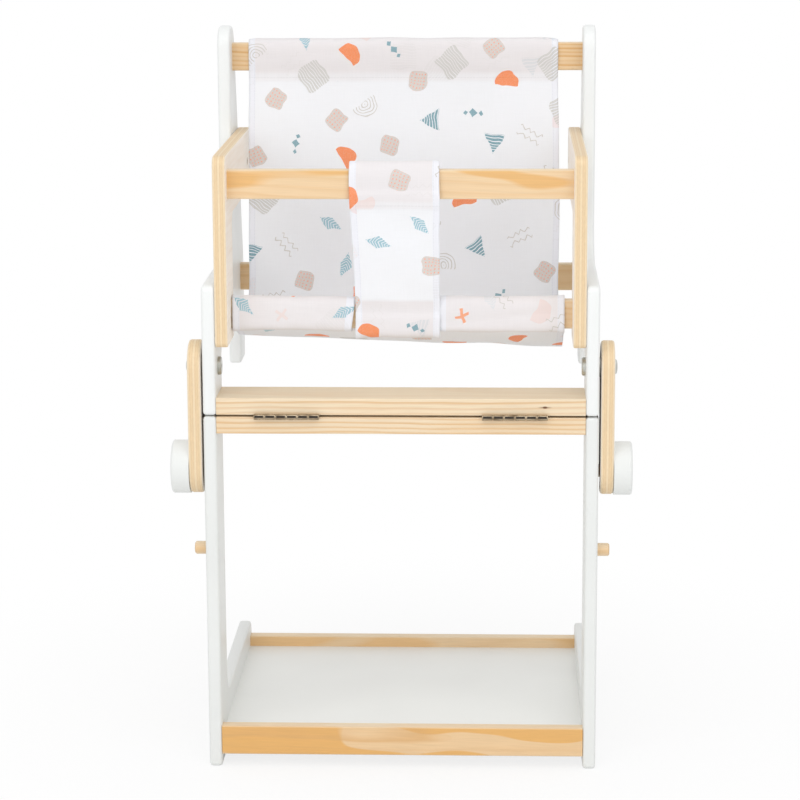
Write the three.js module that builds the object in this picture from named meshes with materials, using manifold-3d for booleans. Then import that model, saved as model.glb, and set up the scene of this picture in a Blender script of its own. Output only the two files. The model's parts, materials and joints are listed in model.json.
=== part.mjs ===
// Doll high chair that folds at its waist into a low chair with a table.
// Millimetres. X runs to the right, Y from the front to the back, Z up, and the floor is at Z = 0.
// Depths are measured back from the front edges of the side panels until the last lines centre the model.

import * as THREE from "three";
import { mergeVertices } from "three/addons/utils/BufferGeometryUtils.js";
import Module from "manifold-3d";

const wasm = await Module();
wasm.setup();

// Side panels, shared by the chair and its base
const outerWidth = 300;
const sideThickness = 10;
const postDepth = 48;
const sideRoundOver = 2.2;
const splitCornerRadius = 2.6;

// Base, with a front post and a low bar on each side
const splitHeight = 279.5;
const splitGap = 1;
const baseDepth = 256;
const barHeight = 44;
const barFillet = 22;
const barEndRadius = 8;
const footRadius = 3;

// Chair sides, rises are measured up from the split between chair and base
const chairRise = 282.5;
const chairDepth = 238;
const shoulderRise = 100;
const shoulderBar = 48.5;
const shoulderFillet = 32;
const shoulderRadius = 5;
const archRadius = 20;
const rearFootDepth = 33;
const backPostFront = 151;
const backPostTopDepth = 34.6;
const backPostEndRadius = 16.5;
const slantRise = 81.5;
const slantRadius = 40;

// Plywood arm panels inside the chair sides
const armThickness = 10;
const armLength = 209;
const armPostDepth = 48;
const armBottomRise = 52.5;
const armTopRise = 197.5;
const armBarHeight = 49;
const armFillet = 10;
const armFrontRadius = 8;
const armCornerRadius = 4;
const plyRoundOver = 1.4;

// Slats across the chair
const slatHeight = 22;
const slatThickness = 10;
const slatEdgeRadius = 1.2;
const topSlatFront = 170;
const topSlatDrop = 36;
const seatSlatRise = 62.5;
const rearSlatInset = 32;
const frontSlatFront = 30;
const barSlatFront = 12;
const barSlatRise = 164;

// Two boards that meet at the split
const boardThickness = 13;
const boardDepth = 44;
const boardSetback = 1;
const boardEdgeRadius = 0.8;

// Tray in the base
const trayRailHeight = 23;
const trayRailThickness = 10.5;
const trayRailBottom = 10;
const trayRailSetback = 0.5;
const trayRearSetback = 5;
const trayBoardThickness = 5;
const trayBoardTop = 24;

// Two lengths of strip hinge between the boards
const hingeLength = 49.8;
const hingeCentre = 86.5;
const hingeAxisProud = 1.5;
const barrelRadius = 2.2;
const pinRadius = 0.9;
const pinClearance = 0.2;
const leafWidth = 17;
const leafThickness = 0.65;
const leafGap = 0.3;
const knuckleGap = 0.3;
const knuckleCount = 6;

// Latch arms, their knobs and pivots
const latchThickness = 10.5;
const latchWidth = 40;
const latchSpan = 79;
const pegPastKnob = 2;
const latchRoundOver = 2;
const pivotDepth = 21;
const pivotRise = 35.1;
const knobRadius = 20.5;
const knobThickness = 14;
const knobEdge = 1.6;
const washerThickness = 1.5;
const washerRadius = 8;
const boltRadius = 3;
const boltHeadRadius = 6;
const boltHeadHeight = 2.2;
const nutSleeveRadius = 4.2;
const nutSleeveLength = 8;
const nutHeadRadius = 7;
const nutHeadHeight = 2.8;
const nutHeadEdge = 0.8;
const socketRadius = 1.9;
const socketDepth = 1.7;

// Pegs on the base that the latch arms hook onto
const pegRadius = 5;
const pegReach = 9.3;
const pegSeat = 7;
const pegChamfer = 1;
const notchClearance = 0.5;

// Screws that hold boards and slats between the sides
const screwHeadRadius = 3;
const screwHeadDepth = 2.2;
const screwRadius = 1.9;
const screwTip = 2;
const screwSunk = 0.2;
const screwBite = 30;
const armScrewLength = 16;
const armScrewDepth = 178;

// Cotton seat sling and crotch strap
const clothThickness = 1.2;
const slingLeftGap = 1;
const slingRightGap = 6;
const sleeveSlack = 1;
const sleeveSeat = 0.3;
const topSleeveDrop = 8;
const frontSleeveDrop = 5;
const sleeveRadius = 1.6;
const slingLowRise = 37.5;
const slingBackLean = 12;
const strapWidth = 67.5;
const strapShift = -4.3;
const strapSleeveLift = 6;
const strapSleeveDrop = 4;
const strapGap = 1.5;
const slingCutBack = 6;

// Fit between pieces, and how far a cutting tool runs past what it cuts
const fitGap = 0.3;
const overrun = 1;

// Angles and counts
const foldSwing = Math.PI;
const latchSwing = THREE.MathUtils.degToRad(152);
const arcSteps = 8;
const smallArcSteps = 4;
const smallArcRadius = 9;
const roundOverSteps = 2;
const fineSides = 48;
const roundSides = 24;
const smallSides = 12;
const socketSides = 6;
const notchSteps = 10;
const notchFoldShare = 1 / 3;
const fullFilletShare = 0.5;
const clothSteps = 28;
const coincidentShare = 1e-8;
const knobEdgeShare = 0.3;
const domeShares = [[1, 0], [1, 0.3], [0.85, 0.75], [0.5, 1], [0, 1]];

// Places worked out from the sizes above
const sideOuter = outerWidth / 2;
const sideInner = sideOuter - sideThickness;
const armInner = sideInner - armThickness;
const baseTop = splitHeight - splitGap / 2;
const chairBottom = splitHeight + splitGap / 2;
const chairTop = splitHeight + chairRise;
const topSlatRise = chairRise - topSlatDrop;
const rearSlatFront = chairDepth - rearSlatInset;
const shoulderTop = splitHeight + shoulderRise;
const boardOffset = leafGap / 2 + leafThickness;
const foldAxis = new THREE.Vector2(-hingeAxisProud, splitHeight);
const latchPivot = new THREE.Vector2(pivotDepth, splitHeight + pivotRise);
const latchRatio = latchSwing / foldSwing;
const latchReach = latchSpan + pegPastKnob;
const catchPeg = new THREE.Vector2(latchPivot.x, latchPivot.y - latchReach);
const lockPeg = catchPeg.clone().rotateAround(latchPivot, -latchSwing).rotateAround(foldAxis, foldSwing);
const latchInner = sideOuter + washerThickness;
const latchOuter = latchInner + latchThickness;
const sides = [
  { name: "left", sign: -1 },
  { name: "right", sign: 1 },
];

// Finishes
function finish(color, roughness, metalness) {
  return new THREE.MeshStandardMaterial({ color, roughness, metalness });
}
const lacquer = finish("#f1f2f0", 0.42, 0);
const pine = finish("#efd8a9", 0.55, 0);
const plywood = finish("#ecd2a0", 0.55, 0);
const beech = finish("#e9c795", 0.55, 0);
const steel = finish("#b9b7b2", 0.35, 1);
const cotton = finish("#f4f3f5", 0.9, 0);

// Turns a three.js geometry into a solid that can be joined and cut.
function solid(geometry) {
  const bare = geometry.index ? geometry.toNonIndexed() : geometry;
  bare.deleteAttribute("normal");
  bare.deleteAttribute("uv");
  const merged = mergeVertices(bare);
  const mesh = new wasm.Mesh({
    numProp: 3,
    vertProperties: new Float32Array(merged.attributes.position.array),
    triVerts: new Uint32Array(merged.index.array),
  });
  mesh.merge();
  return new wasm.Manifold(mesh);
}

// Turns a solid back into a named mesh.
function piece(name, shape, material) {
  const mesh = shape.getMesh();
  const geometry = new THREE.BufferGeometry();
  const positions = new Float32Array(mesh.vertProperties);
  geometry.setAttribute("position", new THREE.BufferAttribute(positions, mesh.numProp));
  geometry.setIndex(new THREE.BufferAttribute(new Uint32Array(mesh.triVerts), 1));
  geometry.computeVertexNormals();
  const made = new THREE.Mesh(geometry, material);
  made.name = name;
  return made;
}

// A corner of an outline: its depth, its height and the radius that rounds it.
function corner(y, z, radius = 0) {
  return { at: new THREE.Vector2(y, z), radius };
}

// Outline through corners, each rounded by a true arc as far as its edges allow.
function outline(corners) {
  const points = [];
  corners.forEach(({ at, radius }, index) => {
    const before = corners.at(index - 1).at;
    const after = corners[(index + 1) % corners.length].at;
    const back = before.clone().sub(at);
    const ahead = after.clone().sub(at);
    const room = Math.min(back.length(), ahead.length()) * fullFilletShare;
    back.normalize();
    ahead.normalize();
    const half = Math.acos(THREE.MathUtils.clamp(back.dot(ahead), -1, 1)) / 2;
    const reach = Math.min(radius / Math.tan(half), room);
    if (reach <= 0) {
      points.push(at.clone());
      return;
    }
    const rounded = reach * Math.tan(half);
    const middle = back.clone().add(ahead).normalize();
    const centre = at.clone().addScaledVector(middle, rounded / Math.sin(half));
    const start = at.clone().addScaledVector(back, reach).sub(centre);
    const end = at.clone().addScaledVector(ahead, reach).sub(centre);
    const sweep = Math.atan2(start.cross(end), start.dot(end));
    const steps = rounded > smallArcRadius ? arcSteps : smallArcSteps;
    for (let step = 0; step <= steps; step += 1) {
      const spoke = start.clone().rotateAround(new THREE.Vector2(), (sweep * step) / steps);
      points.push(spoke.add(centre));
    }
  });
  const least = outerWidth * coincidentShare;
  return points.filter((point, index) => point.distanceTo(points.at(index - 1)) > least);
}

// Carries a shape drawn in depth and height across the width, from low to high X.
function across(shape, low, high, roundOver = 0) {
  const geometry = new THREE.ExtrudeGeometry(shape, {
    depth: high - low - 2 * roundOver,
    bevelEnabled: roundOver > 0,
    bevelThickness: roundOver,
    bevelSize: roundOver,
    bevelOffset: -roundOver,
    bevelSegments: roundOverSteps,
    curveSegments: arcSteps * 2,
  });
  const basis = new THREE.Matrix4().makeBasis(
    new THREE.Vector3(0, 1, 0),
    new THREE.Vector3(0, 0, 1),
    new THREE.Vector3(1, 0, 0),
  );
  geometry.applyMatrix4(basis);
  geometry.translate(low + roundOver, 0, 0);
  return solid(geometry);
}

// A board with its long edges eased, from its low corner to its high corner.
function bar(low, high, edge = 0) {
  const section = outline([
    corner(low.y, low.z, edge),
    corner(high.y, low.z, edge),
    corner(high.y, high.z, edge),
    corner(low.y, high.z, edge),
  ]);
  return across(new THREE.Shape(section), low.x, high.x);
}

// A turned piece on an X axis. The profile holds radius and distance outwards from the face at x.
function turned(profile, facets, sign, x, y, z) {
  const points = profile.map(([radius, out]) => new THREE.Vector2(radius, out));
  const geometry = new THREE.LatheGeometry(points, facets);
  geometry.rotateZ((-sign * Math.PI) / 2);
  geometry.translate(sign * x, y, z);
  return solid(geometry);
}

// Box for cutting, given by its low and high corners.
function block(low, high) {
  const size = high.clone().sub(low);
  const geometry = new THREE.BoxGeometry(size.x, size.y, size.z);
  const middle = low.clone().add(high).multiplyScalar(1 / 2);
  geometry.translate(middle.x, middle.y, middle.z);
  return solid(geometry);
}

// Hexagon socket that opens outwards at the face at x.
function socket(sign, x, y, z) {
  const profile = [[0, -socketDepth], [socketRadius, -socketDepth], [socketRadius, overrun], [0, overrun]];
  return turned(profile, socketSides, sign, x, y, z);
}

// Screws: where each enters, how far it runs, and the face that its head is sunk into
const boardMiddle = boardSetback + boardDepth / 2;
const boardRun = sideThickness + screwBite;
const screwPlaces = [
  {
    name: "chair_board",
    y: boardMiddle,
    z: splitHeight + boardOffset + boardThickness / 2,
    face: sideOuter,
    length: boardRun,
  },
  {
    name: "base_board",
    y: boardMiddle,
    z: splitHeight - boardOffset - boardThickness / 2,
    face: sideOuter,
    length: boardRun,
  },
  {
    name: "top_slat",
    y: topSlatFront + slatThickness / 2,
    z: splitHeight + topSlatRise + slatHeight / 2,
    face: sideOuter,
    length: boardRun,
  },
  {
    name: "rear_slat",
    y: rearSlatFront + slatThickness / 2,
    z: splitHeight + seatSlatRise + slatHeight / 2,
    face: sideOuter,
    length: boardRun,
  },
  {
    name: "front_slat",
    y: frontSlatFront + slatThickness / 2,
    z: splitHeight + seatSlatRise + slatHeight / 2,
    face: sideOuter,
    length: boardRun + armThickness,
  },
  {
    name: "bar_slat",
    y: barSlatFront + slatThickness / 2,
    z: splitHeight + barSlatRise + slatHeight / 2,
    face: sideInner,
    length: armThickness + screwBite,
  },
  {
    name: "tray_front",
    y: trayRailSetback + trayRailThickness / 2,
    z: trayRailBottom + trayRailHeight / 2,
    face: sideOuter,
    length: boardRun,
  },
  {
    name: "tray_rear",
    y: baseDepth - trayRearSetback - trayRailThickness / 2,
    z: trayRailBottom + trayRailHeight / 2,
    face: sideOuter,
    length: boardRun,
  },
  {
    name: "arm_panel",
    y: armScrewDepth,
    z: splitHeight + armTopRise - armBarHeight / 2,
    face: armInner,
    length: armScrewLength,
    inward: true,
  },
];

// The body of one screw, or with a clearance the hole that takes it.
function screwSolid(place, sign, clearance) {
  const headRadius = screwHeadRadius + clearance;
  const shank = screwRadius + clearance;
  const top = clearance > 0 ? overrun : -screwSunk;
  const tipRadius = shank / 2;
  const profile = [
    [0, -place.length - clearance],
    [tipRadius, -place.length - clearance],
    [shank, -place.length + screwTip - clearance],
    [shank, -screwSunk - screwHeadDepth],
    [headRadius, -screwSunk],
  ];
  if (clearance > 0) {
    profile.push([headRadius, top]);
  }
  profile.push([0, top]);
  const outwards = place.inward ? -sign : sign;
  const face = place.inward ? -place.face : place.face;
  const body = turned(profile, smallSides, outwards, face, place.y, place.z);
  if (clearance > 0) {
    return body;
  }
  return body.subtract(socket(outwards, face - screwSunk, place.y, place.z));
}

const screwHoles = screwPlaces
  .flatMap((place) => sides.map(({ sign }) => screwSolid(place, sign, fitGap)))
  .reduce((all, hole) => all.add(hole));

const group = new THREE.Group();
function add(name, shape, material) {
  group.add(piece(name, shape, material));
}

// Cylinder on the X axis from one distance to another, for holes and pins.
function rod(radius, facets, sign, from, to, y, z) {
  return turned([[0, from], [radius, from], [radius, to], [0, to]], facets, sign, 0, y, z);
}

// Base side: front post and low bar in one panel, with blind holes for its two pegs.
function baseSide(sign) {
  const shape = new THREE.Shape(
    outline([
      corner(0, 0, footRadius),
      corner(baseDepth, 0, footRadius),
      corner(baseDepth, barHeight, barEndRadius),
      corner(postDepth, barHeight, barFillet),
      corner(postDepth, baseTop, splitCornerRadius),
      corner(0, baseTop, splitCornerRadius),
    ]),
  );
  const low = Math.min(sign * sideInner, sign * sideOuter);
  let panel = across(shape, low, low + sideThickness, sideRoundOver).subtract(screwHoles);
  for (const peg of [catchPeg, lockPeg]) {
    const from = sideOuter - pegSeat - fitGap;
    const to = sideOuter + overrun;
    panel = panel.subtract(rod(pegRadius + fitGap, roundSides, sign, from, to, peg.x, peg.y));
  }
  return panel;
}

// Chair side: front leg, arch, rear foot, low shoulder and a back post that leans at its rear edge.
function chairSide(sign) {
  const archTop = shoulderTop - shoulderBar;
  const rearFootFront = chairDepth - rearFootDepth;
  const shape = new THREE.Shape(
    outline([
      corner(0, chairBottom, splitCornerRadius),
      corner(postDepth, chairBottom, splitCornerRadius),
      corner(postDepth, archTop, archRadius),
      corner(rearFootFront, archTop, archRadius),
      corner(rearFootFront, chairBottom, footRadius),
      corner(chairDepth, chairBottom, footRadius),
      corner(chairDepth, splitHeight + slantRise, slantRadius),
      corner(backPostFront + backPostTopDepth, chairTop, backPostEndRadius),
      corner(backPostFront, chairTop, backPostEndRadius),
      corner(backPostFront, shoulderTop, shoulderFillet),
      corner(0, shoulderTop, shoulderRadius),
    ]),
  );
  const low = Math.min(sign * sideInner, sign * sideOuter);
  const panel = across(shape, low, low + sideThickness, sideRoundOver);
  const from = sideInner - overrun;
  const to = sideOuter + overrun;
  const bore = rod(nutSleeveRadius + fitGap, roundSides, sign, from, to, latchPivot.x, latchPivot.y);
  return panel.subtract(screwHoles).subtract(bore);
}

// Arm panel: front post and arm rest bar in one piece of plywood.
function armPanel(sign) {
  const top = splitHeight + armTopRise;
  const barBottom = top - armBarHeight;
  const bottom = splitHeight + armBottomRise;
  const shape = new THREE.Shape(
    outline([
      corner(0, bottom, armCornerRadius),
      corner(armPostDepth, bottom, armCornerRadius),
      corner(armPostDepth, barBottom, armFillet),
      corner(armLength, barBottom, armCornerRadius),
      corner(armLength, top, armCornerRadius),
      corner(0, top, armFrontRadius),
    ]),
  );
  const low = Math.min(sign * sideInner, sign * armInner);
  return across(shape, low, low + armThickness, plyRoundOver).subtract(screwHoles);
}

// A slat from side to side, its front lower edge at the given depth and rise.
function slat(half, front, rise) {
  const low = new THREE.Vector3(-half, front, splitHeight + rise);
  const high = new THREE.Vector3(half, front + slatThickness, splitHeight + rise + slatHeight);
  return bar(low, high, slatEdgeRadius).subtract(screwHoles);
}

// Board above or below the split, its face against the hinge leaves.
function waistBoard(up) {
  const near = splitHeight + up * boardOffset;
  const far = near + up * boardThickness;
  const low = new THREE.Vector3(-sideInner, boardSetback, Math.min(near, far));
  const high = new THREE.Vector3(sideInner, boardSetback + boardDepth, Math.max(near, far));
  return bar(low, high, boardEdgeRadius).subtract(screwHoles);
}

// Tray rail between the base sides, its front face at the given depth.
function trayRail(front) {
  const low = new THREE.Vector3(-sideInner, front, trayRailBottom);
  const high = new THREE.Vector3(sideInner, front + trayRailThickness, trayRailBottom + trayRailHeight);
  return bar(low, high, slatEdgeRadius).subtract(screwHoles);
}

for (const { name, sign } of sides) {
  add(`base_side_${name}`, baseSide(sign), lacquer);
  add(`chair_side_${name}`, chairSide(sign), lacquer);
  add(`arm_panel_${name}`, armPanel(sign), plywood);
  for (const place of screwPlaces) {
    add(`screw_${place.name}_${name}`, screwSolid(place, sign, 0), steel);
  }
}

add("back_top_slat", slat(sideInner, topSlatFront, topSlatRise), pine);
add("back_lower_slat", slat(sideInner, rearSlatFront, seatSlatRise), pine);
add("front_lower_slat", slat(armInner, frontSlatFront, seatSlatRise), pine);
add("front_upper_slat", slat(armInner, barSlatFront, barSlatRise), pine);
add("chair_board", waistBoard(1), pine);
add("base_board", waistBoard(-1), pine);

const trayRearFront = baseDepth - trayRearSetback - trayRailThickness;
const trayBoardLow = new THREE.Vector3(-sideInner, trayRailSetback + trayRailThickness, trayBoardTop - trayBoardThickness);
const trayBoardHigh = new THREE.Vector3(sideInner, trayRearFront, trayBoardTop);
add("tray_front_rail", trayRail(trayRailSetback), pine);
add("tray_rear_rail", trayRail(trayRearFront), pine);
add("tray_board", bar(trayBoardLow, trayBoardHigh), lacquer);

// One leaf of a strip hinge: a plate on its board's face and every other knuckle round the pin.
function hingeLeaf(sign, up) {
  const pitch = hingeLength / knuckleCount;
  const start = sign * hingeCentre - hingeLength / 2;
  const near = splitHeight + (up * leafGap) / 2;
  const far = near + up * leafThickness;
  const plateFront = foldAxis.x + barrelRadius + knuckleGap;
  const plateLow = new THREE.Vector3(start, plateFront, Math.min(near, far));
  const plateHigh = new THREE.Vector3(start + hingeLength, plateFront + leafWidth, Math.max(near, far));
  let leaf = block(plateLow, plateHigh);
  const wallMiddle = foldAxis.x + (barrelRadius + pinRadius + pinClearance) / 2;
  for (let index = up > 0 ? 0 : 1; index < knuckleCount; index += 2) {
    const from = start + index * pitch + knuckleGap / 2;
    const to = from + pitch - knuckleGap;
    const tabLow = new THREE.Vector3(from, wallMiddle, plateLow.z);
    const tabHigh = new THREE.Vector3(to, plateFront + overrun, plateHigh.z);
    const barrel = rod(barrelRadius, smallSides, 1, from, to, foldAxis.x, foldAxis.y);
    leaf = leaf.add(barrel).add(block(tabLow, tabHigh));
  }
  const boreFrom = start - overrun;
  const boreTo = start + hingeLength + overrun;
  return leaf.subtract(
    rod(pinRadius + pinClearance, smallSides, 1, boreFrom, boreTo, foldAxis.x, foldAxis.y),
  );
}

for (const { name, sign } of sides) {
  const start = sign * hingeCentre - hingeLength / 2;
  const end = start + hingeLength;
  add(`hinge_chair_leaf_${name}`, hingeLeaf(sign, 1), steel);
  add(`hinge_base_leaf_${name}`, hingeLeaf(sign, -1), steel);
  add(`hinge_pin_${name}`, rod(pinRadius, smallSides, 1, start, end, foldAxis.x, foldAxis.y), steel);
}

// A peg's centre as the latch arm sees it when the base has folded by the given angle.
function pegTrack(peg, fold) {
  return peg.clone().rotateAround(foldAxis, -fold).rotateAround(latchPivot, fold * latchRatio);
}

// Slot with round ends between two places of a peg.
function slotBetween(from, to, low, high) {
  const radius = pegRadius + notchClearance;
  const heading = to.clone().sub(from).angle();
  const shape = new THREE.Shape();
  shape.absarc(from.x, from.y, radius, heading + Math.PI / 2, heading - Math.PI / 2 + 2 * Math.PI);
  shape.absarc(to.x, to.y, radius, heading - Math.PI / 2, heading + Math.PI / 2);
  return across(shape, low, high);
}

// Latch arm: a round-ended lever whose notch follows both pegs, in as the fold ends and out as it starts.
function latchArm(sign) {
  const half = latchWidth / 2;
  const top = latchPivot.y + half;
  const bottom = latchPivot.y - latchSpan - half;
  const shape = new THREE.Shape(
    outline([
      corner(latchPivot.x - half, bottom, half),
      corner(latchPivot.x + half, bottom, half),
      corner(latchPivot.x + half, top, half),
      corner(latchPivot.x - half, top, half),
    ]),
  );
  const low = Math.min(sign * latchInner, sign * latchOuter);
  const high = low + latchThickness;
  let arm = across(shape, low, high, latchRoundOver);
  const from = latchInner - overrun;
  const to = latchOuter + overrun;
  arm = arm.subtract(rod(boltRadius + fitGap, roundSides, sign, from, to, latchPivot.x, latchPivot.y));
  const part = (foldSwing * notchFoldShare) / notchSteps;
  for (let step = 0; step < notchSteps; step += 1) {
    const leaving = [pegTrack(catchPeg, step * part), pegTrack(catchPeg, (step + 1) * part)];
    const arriving = [
      pegTrack(lockPeg, foldSwing - step * part),
      pegTrack(lockPeg, foldSwing - (step + 1) * part),
    ];
    for (const [start, end] of [leaving, arriving]) {
      arm = arm.subtract(slotBetween(start, end, low - overrun, high + overrun));
    }
  }
  return arm;
}

// Round wooden knob glued over the end of the latch arm.
function knob(sign) {
  const profile = [
    [0, 0],
    [knobRadius, 0],
    [knobRadius, knobThickness - knobEdge],
    [knobRadius - knobEdge * knobEdgeShare, knobThickness - knobEdge * knobEdgeShare],
    [knobRadius - knobEdge, knobThickness],
    [0, knobThickness],
  ];
  return turned(profile, fineSides, sign, latchOuter, latchPivot.x, latchPivot.y - latchSpan);
}

// Dowel peg set in a base side, its free end eased.
function peg(sign, at) {
  const tip = sideOuter + pegReach;
  const seat = sideOuter - pegSeat;
  const profile = [
    [0, seat],
    [pegRadius, seat],
    [pegRadius, tip - pegChamfer],
    [pegRadius - pegChamfer, tip],
    [0, tip],
  ];
  return turned(profile, roundSides, sign, 0, at.x, at.y);
}

// Washer between the latch arm and the chair side.
function washer(sign) {
  const { x, y } = latchPivot;
  const disc = rod(washerRadius, roundSides, sign, sideOuter, latchInner, x, y);
  const hole = rod(boltRadius + fitGap, roundSides, sign, sideOuter - overrun, latchInner + overrun, x, y);
  return disc.subtract(hole);
}

// Low domed bolt that the latch arm turns on.
function pivotBolt(sign) {
  const end = sideInner + fitGap;
  const profile = [
    [0, end],
    [boltRadius, end],
    [boltRadius, latchOuter],
    ...domeShares.map(([wide, high]) => [boltHeadRadius * wide, latchOuter + boltHeadHeight * high]),
  ];
  const body = turned(profile, roundSides, sign, 0, latchPivot.x, latchPivot.y);
  return body.subtract(socket(sign, latchOuter + boltHeadHeight, latchPivot.x, latchPivot.y));
}

// Sleeve nut that takes the bolt, its round head against the inside of the chair side.
function pivotNut(sign) {
  const profile = [
    [0, sideInner - nutHeadHeight],
    [nutHeadRadius - nutHeadEdge, sideInner - nutHeadHeight],
    [nutHeadRadius, sideInner - nutHeadHeight + nutHeadEdge],
    [nutHeadRadius, sideInner],
    [nutSleeveRadius, sideInner],
    [nutSleeveRadius, sideInner + nutSleeveLength],
    [0, sideInner + nutSleeveLength],
  ];
  const { x, y } = latchPivot;
  const body = turned(profile, roundSides, sign, 0, x, y);
  const bore = rod(boltRadius + fitGap, roundSides, sign, sideInner, sideOuter + overrun, x, y);
  return body.subtract(bore).subtract(socket(-sign, -(sideInner - nutHeadHeight), x, y));
}

for (const { name, sign } of sides) {
  add(`catch_peg_${name}`, peg(sign, catchPeg), beech);
  add(`lock_peg_${name}`, peg(sign, lockPeg), beech);
  add(`latch_arm_${name}`, latchArm(sign), plywood);
  add(`latch_knob_${name}`, knob(sign), lacquer);
  add(`latch_washer_${name}`, washer(sign), steel);
  add(`pivot_bolt_${name}`, pivotBolt(sign), steel);
  add(`pivot_nut_${name}`, pivotNut(sign), steel);
}

// Sleeve of cloth round a slat, as outer and inner outlines in depth and height.
function sleeveOutlines(front, rise, lift, drop) {
  const low = splitHeight + rise - drop;
  const high = splitHeight + rise + slatHeight + lift;
  const near = front - sleeveSlack;
  const back = front + slatThickness + sleeveSlack;
  const ring = (grow) =>
    outline([
      corner(near - grow, low - grow, sleeveRadius + grow),
      corner(back + grow, low - grow, sleeveRadius + grow),
      corner(back + grow, high + grow, sleeveRadius + grow),
      corner(near - grow, high + grow, sleeveRadius + grow),
    ]);
  return { inner: ring(0), outer: ring(clothThickness) };
}

// Sheet of even thickness along a curve, as a closed outline.
function ribbon(curve) {
  const front = [];
  const back = [];
  for (let step = 0; step <= clothSteps; step += 1) {
    const at = curve.getPoint(step / clothSteps);
    const along = curve.getTangent(step / clothSteps);
    const aside = new THREE.Vector2(-along.y, along.x).multiplyScalar(clothThickness / 2);
    front.push(at.clone().add(aside));
    back.push(at.clone().sub(aside));
  }
  return [...front, ...back.reverse()];
}

// Cloth that runs in a curve from a sleeve round one slat to a sleeve round another.
function clothBetween(first, second, curve, low, high) {
  const sheet = across(new THREE.Shape(ribbon(curve)), low, high);
  const joined = [first, second].reduce(
    (cloth, sleeve) => cloth.add(across(new THREE.Shape(sleeve.outer), low, high)),
    sheet,
  );
  return [first, second].reduce(
    (cloth, sleeve) => cloth.subtract(across(new THREE.Shape(sleeve.inner), low - overrun, high + overrun)),
    joined,
  );
}

// Seat sling: back and seat in one sheet, with a front sleeve cut away for the strap.
function seatSling() {
  const low = slingLeftGap - armInner;
  const high = armInner - slingRightGap;
  const top = sleeveOutlines(topSlatFront, topSlatRise, sleeveSeat, topSleeveDrop);
  const front = sleeveOutlines(frontSlatFront, seatSlatRise, sleeveSeat, frontSleeveDrop);
  const wall = sleeveSlack + clothThickness / 2;
  const start = new THREE.Vector2(topSlatFront - wall, splitHeight + topSlatRise);
  const end = new THREE.Vector2(frontSlatFront + slatThickness + wall, splitHeight + seatSlatRise);
  const lowest = new THREE.Vector2((start.x + end.x) / 2, splitHeight + slingLowRise);
  const bend = new THREE.Vector2(start.x - slingBackLean, splitHeight + seatSlatRise + slatHeight);
  const curve = new THREE.SplineCurve([start, bend, lowest, end]);
  const sling = clothBetween(top, front, curve, low, high);
  const cutHalf = strapWidth / 2 + strapGap;
  const cutLow = new THREE.Vector3(
    strapShift - cutHalf,
    frontSlatFront - slatThickness,
    splitHeight + seatSlatRise - slatHeight,
  );
  const cutHigh = new THREE.Vector3(
    strapShift + cutHalf,
    end.x + slingCutBack,
    splitHeight + seatSlatRise + 2 * slatHeight,
  );
  return sling.subtract(block(cutLow, cutHigh));
}

// Crotch strap: a sleeve on the bar in front of the doll and one on the slat below it.
function crotchStrap() {
  const low = strapShift - strapWidth / 2;
  const high = strapShift + strapWidth / 2;
  const upper = sleeveOutlines(barSlatFront, barSlatRise, strapSleeveLift, strapSleeveDrop);
  const lower = sleeveOutlines(frontSlatFront, seatSlatRise, sleeveSeat, frontSleeveDrop);
  const wall = sleeveSlack + clothThickness / 2;
  const start = new THREE.Vector2(barSlatFront - wall, splitHeight + barSlatRise);
  const end = new THREE.Vector2(frontSlatFront - wall, splitHeight + seatSlatRise + slatHeight / 2);
  return clothBetween(upper, lower, new THREE.LineCurve(start, end), low, high);
}

add("seat_sling", seatSling(), cotton);
add("crotch_strap", crotchStrap(), cotton);

// The origin is the middle of the footprint, on the floor.
const footprint = new THREE.Box3().setFromObject(group);
group.position.y = -(footprint.min.y + footprint.max.y) / 2;

export default group;
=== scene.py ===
"""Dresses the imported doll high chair: lacquered panels, pine, plywood, plated steel and printed cotton."""
import json
import math

import bpy
from bpy.props import FloatProperty, FloatVectorProperty, IntProperty, PointerProperty
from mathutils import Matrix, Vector, noise

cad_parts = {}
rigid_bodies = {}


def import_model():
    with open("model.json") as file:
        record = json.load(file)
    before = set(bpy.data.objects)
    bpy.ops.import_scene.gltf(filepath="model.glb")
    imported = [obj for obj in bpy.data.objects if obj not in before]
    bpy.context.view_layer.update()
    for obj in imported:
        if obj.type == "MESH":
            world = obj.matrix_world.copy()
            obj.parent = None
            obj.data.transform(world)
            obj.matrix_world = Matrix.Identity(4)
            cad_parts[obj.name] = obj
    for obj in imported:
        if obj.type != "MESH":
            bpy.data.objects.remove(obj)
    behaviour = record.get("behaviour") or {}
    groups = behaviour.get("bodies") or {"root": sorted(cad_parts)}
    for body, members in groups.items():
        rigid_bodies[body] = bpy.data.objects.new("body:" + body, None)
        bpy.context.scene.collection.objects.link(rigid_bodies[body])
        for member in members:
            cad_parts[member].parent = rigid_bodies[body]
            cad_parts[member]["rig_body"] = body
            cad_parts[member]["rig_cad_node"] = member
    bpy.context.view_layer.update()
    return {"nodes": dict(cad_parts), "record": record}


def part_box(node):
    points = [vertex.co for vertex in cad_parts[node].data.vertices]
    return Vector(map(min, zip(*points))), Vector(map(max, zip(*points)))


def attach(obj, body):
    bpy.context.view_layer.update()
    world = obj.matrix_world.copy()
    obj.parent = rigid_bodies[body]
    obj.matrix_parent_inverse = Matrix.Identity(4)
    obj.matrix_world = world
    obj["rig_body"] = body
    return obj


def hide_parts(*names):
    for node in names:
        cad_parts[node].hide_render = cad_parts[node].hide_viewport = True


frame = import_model()

bl_info = {
    "name": "Doll High Chair",
    "version": (1, 0, 0),
    "blender": (4, 5, 0),
    "location": "3D View > Sidebar > High Chair",
    "description": "Builds the looks of a folding doll high chair around its fixed frame",
    "category": "Add Mesh",
}

MM = 0.001
SIDES = ("left", "right")
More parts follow.
